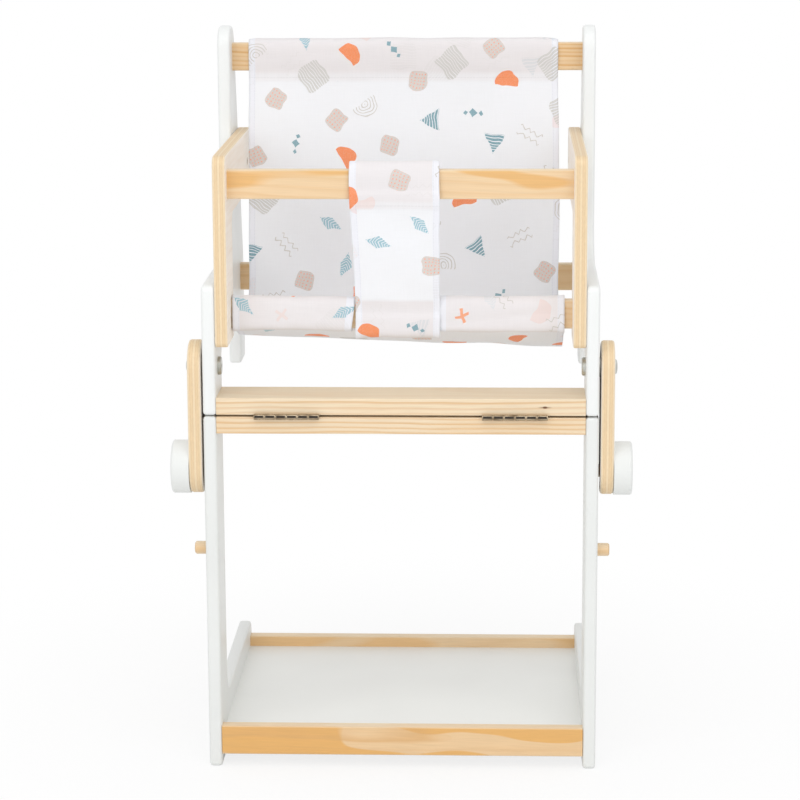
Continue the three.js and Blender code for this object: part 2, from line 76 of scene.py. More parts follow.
# Each board: its pith, across and up from its middle, and its ring width, in millimetres, then how
# strong its rings are and its least and most share of golden heartwood
BOARDS = {
    "back_top_slat": ((-14, 60), 3.4, 1.5, (0.25, 0.5)),
    "back_lower_slat": ((75, -34), 3.1, 0.7, (0.5, 0.9)),
    "front_lower_slat": ((58, 40), 2.8, 0.7, (0.1, 0.4)),
    "front_upper_slat": ((-24, -36), 5.5, 0.4, (0.4, 0.9)),
    "chair_board": ((14, -95), 4.3, 0.95, (0.0, 0.1)),
    "base_board": ((-8, 120), 4.0, 1.1, (0.05, 0.2)),
    "tray_front_rail": ((-21, 8), 6.0, 0.9, (0.5, 1.0)),
    "tray_rear_rail": ((95, 24), 9.0, 0.5, (0.4, 0.7)),
}
# The stick that the pegs are cut from, given as the boards are
DOWEL = ((30, -22), 2.2, 0.35, (0.3, 0.6))


def linear(code):
    """An sRGB hex colour as linear red, green, blue."""
    shares = [int(code[place:place + 2], 16) / 255 for place in (1, 3, 5)]
    return [c / 12.92 if c <= 0.04045 else ((c + 0.055) / 1.055) ** 2.4 for c in shares]


def colour_property(label, code, about):
    """A colour that the user can change, from an sRGB hex code."""
    return FloatVectorProperty(
        name=label, description=about, subtype="COLOR", size=3, min=0, max=1, default=linear(code)
    )


def size_property(label, millimetres, about):
    """A length that the user can change, given here in millimetres."""
    return FloatProperty(
        name=label, description=about, default=millimetres * MM, unit="LENGTH", precision=5
    )


def angle_property(label, degrees, about):
    """An angle that the user can change, given here in degrees."""
    return FloatProperty(name=label, description=about, default=math.radians(degrees), subtype="ANGLE")


class DollChairStage(bpy.types.PropertyGroup):
    """Camera, light and floor."""

    eye_side: size_property("Eye to the right", 75, "How far right of the middle the camera stands")
    eye_back: size_property("Eye distance", 2113, "How far in front of the middle the camera stands")
    eye_height: size_property("Eye height", 711, "Height of the camera above the floor")
    roll: angle_property("Roll", 0.25, "How far the camera leans to the right")
    lens: FloatProperty(name="Lens", description="Focal length in millimetres", default=121.0)
    pitch: angle_property("Pitch", 11.885, "How far the camera looks down")
    yaw: angle_property("Yaw", 2.118, "How far the camera turns left")
    floor_reach: size_property("Floor reach", 6000, "Half the width of the floor")
    ambient: FloatProperty(name="Ambient", description="Strength of the even light", default=0.775)
    floor_colour: colour_property("Floor", "#F6F6F6", "Colour of the floor")


class DollChairWood(bpy.types.PropertyGroup):
    """Pine boards, plywood panels and turned dowels."""

    fibre: size_property("Fibre", 0.9, "Width of the fine fibres")
    early: colour_property("Early wood", "#ECDABD", "Pale part of each ring")
    late: colour_property("Late wood", "#D8A86C", "Dark part of each ring")
    honey: colour_property("Heartwood", "#E3B069", "Golden patches in the rails")
    knot: colour_property("Knot", "#6B4226", "Heart of a small knot")
    plies: IntProperty(name="Plies", description="Plies in the thickness of a panel", default=5)
    ply_light: colour_property("Long ply", "#E9D3B0", "Plies whose grain runs along the edge")
    ply_dark: colour_property("Cross ply", "#DFC194", "Plies that show their end grain at the edge")
    glue: colour_property("Glue line", "#CFA36C", "Thin line between two plies")
    grain: colour_property("Veneer grain", "#F5E8D8", "Darker grain in the face of the plywood")
    veneer: colour_property("Veneer", "#FBF2E6", "Face of the plywood")


class DollChairLacquer(bpy.types.PropertyGroup):
    """White lacquer on the side panels, tray and knobs."""

    white: colour_property("White", "#ECEEED", "Colour of the lacquer")
    base: colour_property("Base", "#E5E7E5", "Colour of the base sides and the knobs")
    tray: colour_property("Tray", "#EEEFEC", "Colour of the tray board")


class DollChairMetal(bpy.types.PropertyGroup):
    """Plated hinges, screws, bolts and nuts."""

    nickel: colour_property("Nickel", "#B4A48C", "Colour of the plating")
    tarnish: colour_property("Tarnish", "#84735D", "Where the nickel is dull")
    # Painted shade: the dark colour inside the slots stands for their shade and the dark reflection across
    # the knuckles
    slot: colour_property("Slot", "#33291F", "Inside of the slots in the knuckles")
    zinc: colour_property("Zinc", "#D0D1CB", "Colour of the screws, bolts and nuts")
    zinc_dull: colour_property("Dull zinc", "#AFB0A8", "Where the zinc is dull")
    leaf: size_property("Leaf thickness", 0.65, "Thickness of a hinge leaf")
    leaf_gap: size_property("Leaf gap", 0.3, "Gap between the two leaves of a hinge")
    knuckles: IntProperty(name="Knuckles", description="Knuckles in a hinge", default=6)
    knuckle_pitch: size_property("Knuckle pitch", 8.3, "Length of a knuckle with its gap")
    knuckle_gap: size_property("Knuckle gap", 0.45, "Gap between two knuckles of a hinge")
    knuckle_edge: size_property("Knuckle edge", 0.22, "Rounding at each end of a knuckle")
    slot_frame: size_property("Slot frame", 0.6, "Metal left round the slot in a knuckle")
    slot_depth: size_property("Slot depth", 0.7, "Depth of the slot in a knuckle")
    leaf_screw: size_property("Leaf screw", 2.5, "Radius of the screw heads in the hinge leaves")


class DollChairCloth(bpy.types.PropertyGroup):
    """Printed cotton sling and strap."""

    thickness: size_property("Thickness", 0.55, "Thickness of the cotton")
    pitch: size_property("Mesh pitch", 3.2, "Size of the cloth mesh before it is smoothed")
    slack: size_property("Sleeve slack", 1.3, "How far a sleeve stands off its slat")
    hem: size_property("Hem", 5.5, "Width of the turned hems")
    stitch: size_property("Stitch", 2.6, "Length of one stitch and its gap")
    print_pitch: size_property("Print spacing", 36, "Distance between the printed shapes")
    sheer: FloatProperty(name="Sheer", description="Share of light let through", default=0.16)
    white: colour_property("Cotton", "#FBFCFF", "Plain cotton")
    hem_white: colour_property("Hem", "#F8F9FF", "Doubled cotton at the hems")
    over_wood: colour_property("Over wood", "#F4F0F1", "Cotton with wood close behind it")
    teal: colour_property("Teal", "#70A4B2", "Ink of the triangles and diamonds")
    sky: colour_property("Light teal", "#9DCAD8", "Ink of the lozenges")
    orange: colour_property("Orange", "#FF9048", "Ink of the half discs")
    peach: colour_property("Peach", "#FFA978", "Ink of the crosses and of the flecks in small squares")
    taupe: colour_property("Taupe", "#E0D6D0", "Ink of the small squares")
    grey: colour_property("Grey", "#DAD8D4", "Ink of the hatched squares")
    line: colour_property("Pale line", "#DAD6D1", "Ink of the arches and zigzags")


def add_node(tree, kind, settings=None, links=None):
    """Adds a shader node with its settings, and with a value or a link for each named input.
    A link is given as a socket, or as a node for the first output that it has in use."""
    made = tree.nodes.new(kind)
    for name, value in (settings or {}).items():
        if name == "stops":
            ramp = made.color_ramp
            while len(ramp.elements) < len(value):
                ramp.elements.new(0.5)
            for element, (place, colour) in zip(ramp.elements, value):
                element.position = place
                element.color = (*colour[:3], 1) if hasattr(colour, "__len__") else (colour,) * 3 + (1,)
        else:
            setattr(made, name, value)
    for name, value in (links or {}).items():
        socket = made.inputs[name]
        if isinstance(value, bpy.types.Node):
            value = next(output for output in value.outputs if output.enabled)
        if isinstance(value, bpy.types.NodeSocket):
            tree.links.new(value, socket)
        elif socket.type == "RGBA" and len(value) == 3:
            socket.default_value = (*value, 1)
        else:
            socket.default_value = value
    return made


def once_in(millimetres):
    """Scale at which a pattern repeats once in the given length."""
    return 1 / (millimetres * MM)


def every(*lengths):
    """Scales along the three axes at which a pattern repeats once in each of the given millimetres."""
    return [once_in(millimetres) for millimetres in lengths]


def new_material(name):
    """An empty node material and its tree."""
    made = bpy.data.materials.new(name)
    made.use_nodes = True
    made.node_tree.nodes.clear()
    return made, made.node_tree


def grains(tree, place, scales, **settings):
    """Noise with its own scale along each axis, as in grain, threads and drawing marks."""
    scaled = add_node(tree, "ShaderNodeVectorMath", {"operation": "MULTIPLY"}, {0: place, 1: scales})
    return add_node(tree, "ShaderNodeTexNoise", {}, {"Vector": scaled, "Scale": 1, **settings})


def pine_wood(name, middle, board, tilt, knot=None):
    """Clear-lacquered pine: growth rings round a pith, darker at each ring's end, with fine fibres.
    The eye sees straight lines on the narrow faces and broad flames on the flat ones."""
    wood = bpy.context.scene.doll_chair_wood
    (across, up), ring, strength, honey = board
    made, tree = new_material(name)
    coordinates = add_node(tree, "ShaderNodeTexCoord").outputs
    place = coordinates["Object"]
    pith = (0, middle.y + across * MM, middle.z + up * MM)
    moved = add_node(
        tree, "ShaderNodeMapping", {"vector_type": "TEXTURE"},
        {"Vector": place, "Location": pith, "Rotation": (0, *tilt)},
    )
    # The rings wander by up to 2.4 of their own widths
    wave = grains(tree, moved, every(170, 30, 30), Detail=3, Roughness=0.5)
    section = add_node(tree, "ShaderNodeVectorMath", {"operation": "MULTIPLY"}, {0: moved, 1: (0, 1, 1)})
    radius = add_node(tree, "ShaderNodeVectorMath", {"operation": "LENGTH"}, {0: section})
    rings = add_node(tree, "ShaderNodeMath", {"operation": "DIVIDE"}, {0: radius, 1: ring * MM})
    phase = add_node(tree, "ShaderNodeMath", {"operation": "MULTIPLY_ADD"}, {0: wave, 1: 2.4, 2: rings})
    share = add_node(tree, "ShaderNodeMath", {"operation": "FRACT"}, {0: phase})
    year = add_node(tree, "ShaderNodeMath", {"operation": "FLOOR"}, {0: phase})
    chance = add_node(tree, "ShaderNodeTexWhiteNoise", {"noise_dimensions": "1D"}, {"W": year})
    profile = add_node(
        tree, "ShaderNodeValToRGB", {"stops": [(0, 0.12), (0.35, 0.04), (0.8, 0.9), (0.96, 0.2)]},
        {"Fac": share},
    )
    held = add_node(
        tree, "ShaderNodeMapRange", {}, {"Value": chance, "To Min": 0.3 * strength, "To Max": strength}
    )
    # Faces that look up are cut along the rings and show them less
    facing = add_node(tree, "ShaderNodeSeparateXYZ", {}, {"Vector": coordinates["Normal"]}).outputs["Z"]
    upward = add_node(tree, "ShaderNodeMath", {"operation": "ABSOLUTE"}, {0: facing})
    clear = add_node(tree, "ShaderNodeMapRange", {}, {"Value": upward, "To Min": 1, "To Max": 0.25})
    ringed_share = add_node(tree, "ShaderNodeMath", {"operation": "MULTIPLY"}, {0: held, 1: clear})
    late = add_node(tree, "ShaderNodeMath", {"operation": "MULTIPLY"}, {0: profile, 1: ringed_share})
    # Golden heartwood comes in long patches, whose edges are sharper where the board has more of it
    patch = grains(tree, moved, every(110, 25, 25), Detail=1)
    patch_share = add_node(
        tree, "ShaderNodeMapRange", {},
        {
            "Value": patch, "From Min": 0.41 + 0.08 * honey[1], "From Max": 0.59 - 0.08 * honey[1],
            "To Min": honey[0], "To Max": honey[1],
        },
    )
    honey_share = add_node(tree, "ShaderNodeMath", {"operation": "MULTIPLY"}, {0: patch_share, 1: clear})
    golden = add_node(
        tree, "ShaderNodeMix", {"data_type": "RGBA"},
        {"Factor": honey_share, "A": wood.early, "B": wood.honey},
    )
    ringed = add_node(
        tree, "ShaderNodeMix", {"data_type": "RGBA"}, {"Factor": late, "A": golden, "B": wood.late}
    )
    # Real fibres are finer than the picture shows, so they are drawn as wide as its pixels
    fibre = grains(tree, moved, (once_in(45), 1 / wood.fibre, 1 / wood.fibre), Detail=3, Roughness=0.6)
    streak = add_node(
        tree, "ShaderNodeMapRange", {},
        {"Value": fibre, "From Min": 0.3, "From Max": 0.75, "To Min": 0.94, "To Max": 1.03},
    )
    colour = add_node(
        tree, "ShaderNodeVectorMath", {"operation": "SCALE"}, {"Vector": ringed, "Scale": streak}
    )
    if knot:
        # The knot has a soft ring round a dark heart, each given as its reach along the three axes in
        # millimetres and the depth of its colour
        for size, depth in (((5.2, 9, 0.75), 0.5), ((1.9, 9, 0.95), 1.0)):
            ratio = every(*size)
            off = add_node(tree, "ShaderNodeVectorMath", {"operation": "SUBTRACT"}, {0: place, 1: knot})
            scaled = add_node(tree, "ShaderNodeVectorMath", {"operation": "MULTIPLY"}, {0: off, 1: ratio})
            far = add_node(tree, "ShaderNodeVectorMath", {"operation": "LENGTH"}, {0: scaled})
            dark = add_node(
                tree, "ShaderNodeMapRange", {},
                {"Value": far, "From Min": 0.6, "From Max": 1.15, "To Min": depth, "To Max": 0},
            )
            colour = add_node(
                tree, "ShaderNodeMix", {"data_type": "RGBA"},
                {"Factor": dark, "A": colour, "B": wood.knot},
            )
    relief = add_node(tree, "ShaderNodeMath", {"operation": "MULTIPLY_ADD"}, {0: late, 1: 0.5, 2: fibre})
    bump = add_node(tree, "ShaderNodeBump", {}, {"Strength": 0.35, "Distance": 0.0001, "Height": relief})
    rough = add_node(tree, "ShaderNodeMapRange", {}, {"Value": late, "To Min": 0.54, "To Max": 0.44})
    shader = add_node(
        tree, "ShaderNodeBsdfPrincipled", {},
        {
            "Base Color": colour, "Roughness": rough, "Normal": bump, "Coat Weight": 0.1,
            "Coat Roughness": 0.4,
        },
    )
    add_node(tree, "ShaderNodeOutputMaterial", {}, {"Surface": shader})
    return made


def birch_plywood(name, low, high):
    """Sanded plywood: crossed plies that show as soft stripes on the edges, and pale veneer with a
    faint grain on the faces."""
    wood = bpy.context.scene.doll_chair_wood
    ply = (high.x - low.x) / wood.plies
    # The veneer's grain runs along the longer side of the panel
    stretch = every(17, 67, 3) if high.y - low.y > high.z - low.z else every(17, 3, 67)
    made, tree = new_material(name)
    coordinates = add_node(tree, "ShaderNodeTexCoord")
    place = coordinates.outputs["Object"]
    axes = add_node(tree, "ShaderNodeSeparateXYZ", {}, {"Vector": place}).outputs
    waver = grains(tree, place, every(17, 62, 62), Detail=2)
    # The outer ply is sanded thinner than the others, and every glue line wavers a little
    outer_ply = 0.57 * ply
    depth = add_node(
        tree, "ShaderNodeMath", {"operation": "SUBTRACT"}, {0: axes["X"], 1: low.x + outer_ply}
    )
    plies = add_node(tree, "ShaderNodeMath", {"operation": "DIVIDE"}, {0: depth, 1: ply})
    wavy = add_node(tree, "ShaderNodeMath", {"operation": "MULTIPLY_ADD"}, {0: waver, 1: 0.14, 2: plies})
    sway = add_node(tree, "ShaderNodeMath", {"operation": "PINGPONG"}, {0: wavy, 1: 1.0})
    crossed = add_node(
        tree, "ShaderNodeMapRange", {},
        {"Value": sway, "From Min": 0.38, "From Max": 0.62, "To Max": 0.55},
    )
    glue_far = add_node(tree, "ShaderNodeMath", {"operation": "SUBTRACT"}, {0: sway, 1: 0.5})
    glue_off = add_node(tree, "ShaderNodeMath", {"operation": "ABSOLUTE"}, {0: glue_far})
    glue = add_node(
        tree, "ShaderNodeMapRange", {},
        {"Value": glue_off, "From Min": 0.02, "From Max": 0.13, "To Min": 0.5, "To Max": 0},
    )
    striped = add_node(
        tree, "ShaderNodeMix", {"data_type": "RGBA"},
        {"Factor": crossed, "A": wood.ply_light, "B": wood.ply_dark},
    )
    edge = add_node(
        tree, "ShaderNodeMix", {"data_type": "RGBA"}, {"Factor": glue, "A": striped, "B": wood.glue}
    )
    pores = grains(tree, place, every(0.42, 3.1, 3.1), Detail=2)
    speck = add_node(
        tree, "ShaderNodeMapRange", {},
        {"Value": pores, "From Min": 0.3, "From Max": 0.7, "To Min": 0.94, "To Max": 1.04},
    )
    specked = add_node(
        tree, "ShaderNodeVectorMath", {"operation": "SCALE"}, {"Vector": edge, "Scale": speck}
    )
    grain = grains(tree, place, stretch, Detail=4, Distortion=0.3)
    grained = add_node(
        tree, "ShaderNodeMapRange", {}, {"Value": grain, "From Min": 0.25, "From Max": 0.6}
    )
    veneer = add_node(
        tree, "ShaderNodeMix", {"data_type": "RGBA"},
        {"Factor": grained, "A": wood.grain, "B": wood.veneer},
    )
    facing = add_node(
        tree, "ShaderNodeSeparateXYZ", {}, {"Vector": coordinates.outputs["Normal"]}
    ).outputs["X"]
    flat = add_node(tree, "ShaderNodeMath", {"operation": "ABSOLUTE"}, {0: facing})
    on_face = add_node(tree, "ShaderNodeMapRange", {}, {"Value": flat, "From Min": 0.6, "From Max": 0.9})
    colour = add_node(
        tree, "ShaderNodeMix", {"data_type": "RGBA"}, {"Factor": on_face, "A": specked, "B": veneer}
    )
    bump = add_node(tree, "ShaderNodeBump", {}, {"Strength": 0.2, "Distance": 0.00008, "Height": grain})
    shader = add_node(
        tree, "ShaderNodeBsdfPrincipled", {},
        {
            "Base Color": colour, "Roughness": 0.5, "Normal": bump, "Coat Weight": 0.1,
            "Coat Roughness": 0.4,
        },
    )
    add_node(tree, "ShaderNodeOutputMaterial", {}, {"Surface": shader})
    return made


def satin_lacquer(name, white):
    """Sprayed white lacquer on board: a satin sheen with the faint ripple that spraying leaves."""
    made, tree = new_material(name)
    faded = [0.97 * share for share in white]
    place = add_node(tree, "ShaderNodeTexCoord").outputs["Object"]
    cloud = add_node(
        tree, "ShaderNodeTexNoise", {}, {"Vector": place, "Scale": once_in(70), "Detail": 3}
    )
    colour = add_node(
        tree, "ShaderNodeValToRGB", {"stops": [(0.3, faded), (0.62, list(white))]}, {"Fac": cloud}
    )
    spray = add_node(
        tree, "ShaderNodeTexNoise", {}, {"Vector": place, "Scale": once_in(2.4), "Detail": 2}
    )
    dust = add_node(tree, "ShaderNodeTexNoise", {}, {"Vector": place, "Scale": once_in(17), "Detail": 4})
    bump = add_node(tree, "ShaderNodeBump", {}, {"Strength": 0.16, "Distance": 0.00012, "Height": spray})
    rough = add_node(
        tree, "ShaderNodeMapRange", {},
        {"Value": dust, "From Min": 0.3, "From Max": 0.7, "To Min": 0.36, "To Max": 0.46},
    )
    shader = add_node(
        tree, "ShaderNodeBsdfPrincipled", {}, {"Base Color": colour, "Roughness": rough, "Normal": bump}
    )
    add_node(tree, "ShaderNodeOutputMaterial", {}, {"Surface": shader})
    return made


def plated_steel(name, bright, dull, smooth, coarse):
    """Plated steel: grey metal with a soft shine, duller in places, with fine drawing marks along it."""
    made, tree = new_material(name)
    place = add_node(tree, "ShaderNodeTexCoord").outputs["Object"]
    # Real drawing marks are some hundredths of a millimetre wide: these are as coarse as shows
    drawn = grains(tree, place, every(3.3, 0.33, 0.33), Detail=2)
    stain = add_node(tree, "ShaderNodeTexNoise", {}, {"Vector": place, "Scale": once_in(9), "Detail": 2})
    stained = add_node(tree, "ShaderNodeMapRange", {}, {"Value": stain, "From Min": 0.3, "From Max": 0.6})
    colour = add_node(
        tree, "ShaderNodeMix", {"data_type": "RGBA"}, {"Factor": stained, "A": dull, "B": bright}
    )
    bump = add_node(tree, "ShaderNodeBump", {}, {"Strength": 0.1, "Distance": 0.00003, "Height": drawn})
    rough = add_node(
        tree, "ShaderNodeMapRange", {}, {"Value": stained, "To Min": coarse, "To Max": smooth}
    )
    shader = add_node(
        tree, "ShaderNodeBsdfPrincipled", {},
        {"Base Color": colour, "Metallic": 1.0, "Roughness": rough, "Normal": bump},
    )
    add_node(tree, "ShaderNodeOutputMaterial", {}, {"Surface": shader})
    return made


# Shapes of the print, worked out step by step from the place x, y in a cell, in millimetres
SHAPE_STEPS = (
    ("across", "ABSOLUTE", "x"),
    ("along", "ABSOLUTE", "y"),
    ("above", "GREATER_THAN", "y", -2.2),
    ("in_disc", "LESS_THAN", "reach", 9.5),
    ("half_disc", "MULTIPLY", "in_disc", "above"),
    ("sunk", "MULTIPLY", "y", 0.5),
    ("slope", "MULTIPLY_ADD", "across", 0.866, "sunk"),
    ("under", "MULTIPLY", "y", -1.0),
    ("wedge", "MAXIMUM", "slope", "under"),
    ("in_wedge", "LESS_THAN", "wedge", 5.1),
    ("level", "PINGPONG", "y", 1.14),
    ("level_bar", "GREATER_THAN", "level", 0.32),
    ("triangle", "MULTIPLY", "in_wedge", "level_bar"),
    ("rounded", "SMOOTH_MAX", "across", "along", 7.04),
    ("in_large_square", "LESS_THAN", "rounded", 10.74),
    ("upright", "PINGPONG", "x", 1.06),
    ("upright_bar", "GREATER_THAN", "upright", 0.3),
    ("hatched_square", "MULTIPLY", "in_large_square", "upright_bar"),
    ("in_arches", "LESS_THAN", "reach", 10.03),
    ("arch_side", "MULTIPLY", "in_arches", "above"),
    ("arch_step", "PINGPONG", "reach", 1.19),
    ("arch_line", "LESS_THAN", "arch_step", 0.37),
    ("arches", "MULTIPLY", "arch_side", "arch_line"),
    ("small_square", "LESS_THAN", "rounded", 7.57),
    ("steep", "MULTIPLY_ADD", "across", 2.1, "along"),
    ("in_lozenge", "LESS_THAN", "steep", 10.21),
    ("lean", "MULTIPLY_ADD", "across", 0.8, "y"),
    ("chevron", "PINGPONG", "lean", 1.14),
    ("chevron_bar", "GREATER_THAN", "chevron", 0.33),
    ("lozenge", "MULTIPLY", "in_lozenge", "chevron_bar"),
    ("tooth", "PINGPONG", "x", 2.82),
    ("off_row", "SUBTRACT", "along", 1.76),
    ("off_tooth", "SUBTRACT", "tooth", "off_row"),
    ("tooth_far", "ABSOLUTE", "off_tooth"),
    ("tooth_line", "LESS_THAN", "tooth_far", 0.44),
    ("in_teeth", "LESS_THAN", "across", 9.86),
    ("zigzags", "MULTIPLY", "tooth_line", "in_teeth"),
    ("corner", "ADD", "across", "along"),
    ("diamond", "LESS_THAN", "corner", 3.43),
    ("aside", "SUBTRACT", "across", 6.16),
    ("aside_far", "ABSOLUTE", "aside"),
    ("aside_corner", "ADD", "aside_far", "along"),
    ("side_diamond", "LESS_THAN", "aside_corner", 1.94),
    ("diamonds", "MAXIMUM", "diamond", "side_diamond"),
    ("arm", "MINIMUM", "across", "along"),
    ("in_arm", "LESS_THAN", "arm", 1.14),
    ("in_plus", "LESS_THAN", "rounded", 5.81),
    ("plus", "MULTIPLY", "in_arm", "in_plus"),
    ("fleck_x", "PINGPONG", "x", 1.32),
    ("fleck_y", "PINGPONG", "y", 1.32),
    ("fleck_far", "MAXIMUM", "fleck_x", "fleck_y"),
    ("fleck", "LESS_THAN", "fleck_far", 0.48),
)
# Which shape a cell holds: the lowest chance for it, the shape, its ink, the ink of its flecks and
# how much it covers. The last row leaves its cells plain
SHAPES = (
    (0.00, "half_disc", "orange", "orange", 0.92),
    (0.15, "triangle", "teal", "teal", 0.9),
    (0.24, "hatched_square", "grey", "grey", 0.85),
    (0.35, "arches", "line", "line", 0.9),
    (0.46, "small_square", "taupe", "peach", 0.85),
    (0.61, "lozenge", "sky", "sky", 0.9),
    (0.71, "zigzags", "line", "line", 0.95),
    (0.80, "diamonds", "teal", "teal", 0.85),
    (0.88, "plus", "peach", "peach", 0.9),
    (0.94, None, None, None, 0.0),
)


def scattered_print():
    """Node group that scatters plain geometric shapes over the cloth, each in its own cell and turn.
    It takes a place in millimetres and gives the printed colour and how much of it covers."""
    cloth = bpy.context.scene.doll_chair_cloth
    group = bpy.data.node_groups.new("scattered_shapes", "ShaderNodeTree")
    group.interface.new_socket("Place", in_out="INPUT", socket_type="NodeSocketVector")
    group.interface.new_socket("Ink", in_out="OUTPUT", socket_type="NodeSocketColor")
    group.interface.new_socket("Cover", in_out="OUTPUT", socket_type="NodeSocketFloat")
    place = add_node(group, "NodeGroupInput").outputs["Place"]
    leaning = add_node(
        group, "ShaderNodeVectorRotate", {"rotation_type": "Z_AXIS"}, {"Vector": place, "Angle": 0.42}
    )
    cells = add_node(
        group, "ShaderNodeTexVoronoi", {"voronoi_dimensions": "2D", "feature": "F1"},
        {"Vector": leaning, "Scale": MM / cloth.print_pitch, "Randomness": 0.36},
    ).outputs
    local = add_node(
        group, "ShaderNodeVectorMath", {"operation": "SUBTRACT"}, {0: leaning, 1: cells["Position"]}
    )
    # The shapes look drawn by hand, up to 1.2 mm off their line
    shaky = add_node(
        group, "ShaderNodeTexNoise", {"noise_dimensions": "2D"},
        {"Vector": place, "Scale": 1 / 7.7, "Detail": 0},
    ).outputs["Color"]
    shaken = add_node(
        group, "ShaderNodeVectorMath", {"operation": "MULTIPLY_ADD"},
        {0: shaky, 1: (2.4, 2.4, 0), 2: (-1.2, -1.2, 0)},
    )
    drawn = add_node(group, "ShaderNodeVectorMath", {"operation": "ADD"}, {0: local, 1: shaken})
    chance = add_node(group, "ShaderNodeSeparateColor", {}, {"Color": cells["Color"]}).outputs
    turn = add_node(group, "ShaderNodeMath", {"operation": "MULTIPLY"}, {0: chance["Red"], 1: math.tau})
    turned = add_node(
        group, "ShaderNodeVectorRotate", {"rotation_type": "Z_AXIS"}, {"Vector": drawn, "Angle": turn}
    )
    axes = add_node(group, "ShaderNodeSeparateXYZ", {}, {"Vector": turned}).outputs
    reach = add_node(group, "ShaderNodeVectorMath", {"operation": "LENGTH"}, {0: turned})
    at = {"x": axes["X"], "y": axes["Y"], "reach": reach}
    for result, operation, *inputs in SHAPE_STEPS:
        links = {index: at.get(value, value) for index, value in enumerate(inputs)}
        at[result] = add_node(group, "ShaderNodeMath", {"operation": operation}, links)
    ink, cover = (*cloth.line, 1), 0.0
    for index, (start, shape, plain, flecks, strength) in enumerate(SHAPES[:-1]):
        after = add_node(
            group, "ShaderNodeMath", {"operation": "GREATER_THAN"}, {0: chance["Green"], 1: start}
        )
        before = add_node(
            group, "ShaderNodeMath", {"operation": "LESS_THAN"},
            {0: chance["Green"], 1: SHAPES[index + 1][0]},
        )
        here = add_node(group, "ShaderNodeMath", {"operation": "MULTIPLY"}, {0: after, 1: before})
        shown = add_node(group, "ShaderNodeMath", {"operation": "MULTIPLY"}, {0: here, 1: at[shape]})
        own = add_node(
            group, "ShaderNodeMix", {"data_type": "RGBA"},
            {"Factor": at["fleck"], "A": getattr(cloth, plain), "B": getattr(cloth, flecks)},
        )
        ink = add_node(
            group, "ShaderNodeMix", {"data_type": "RGBA"}, {"Factor": shown, "A": ink, "B": own}
        )
        cover = add_node(
            group, "ShaderNodeMath", {"operation": "MULTIPLY_ADD"}, {0: shown, 1: strength, 2: cover}
        )
    add_node(group, "NodeGroupOutput", {}, {"Ink": ink, "Cover": cover})
    return group


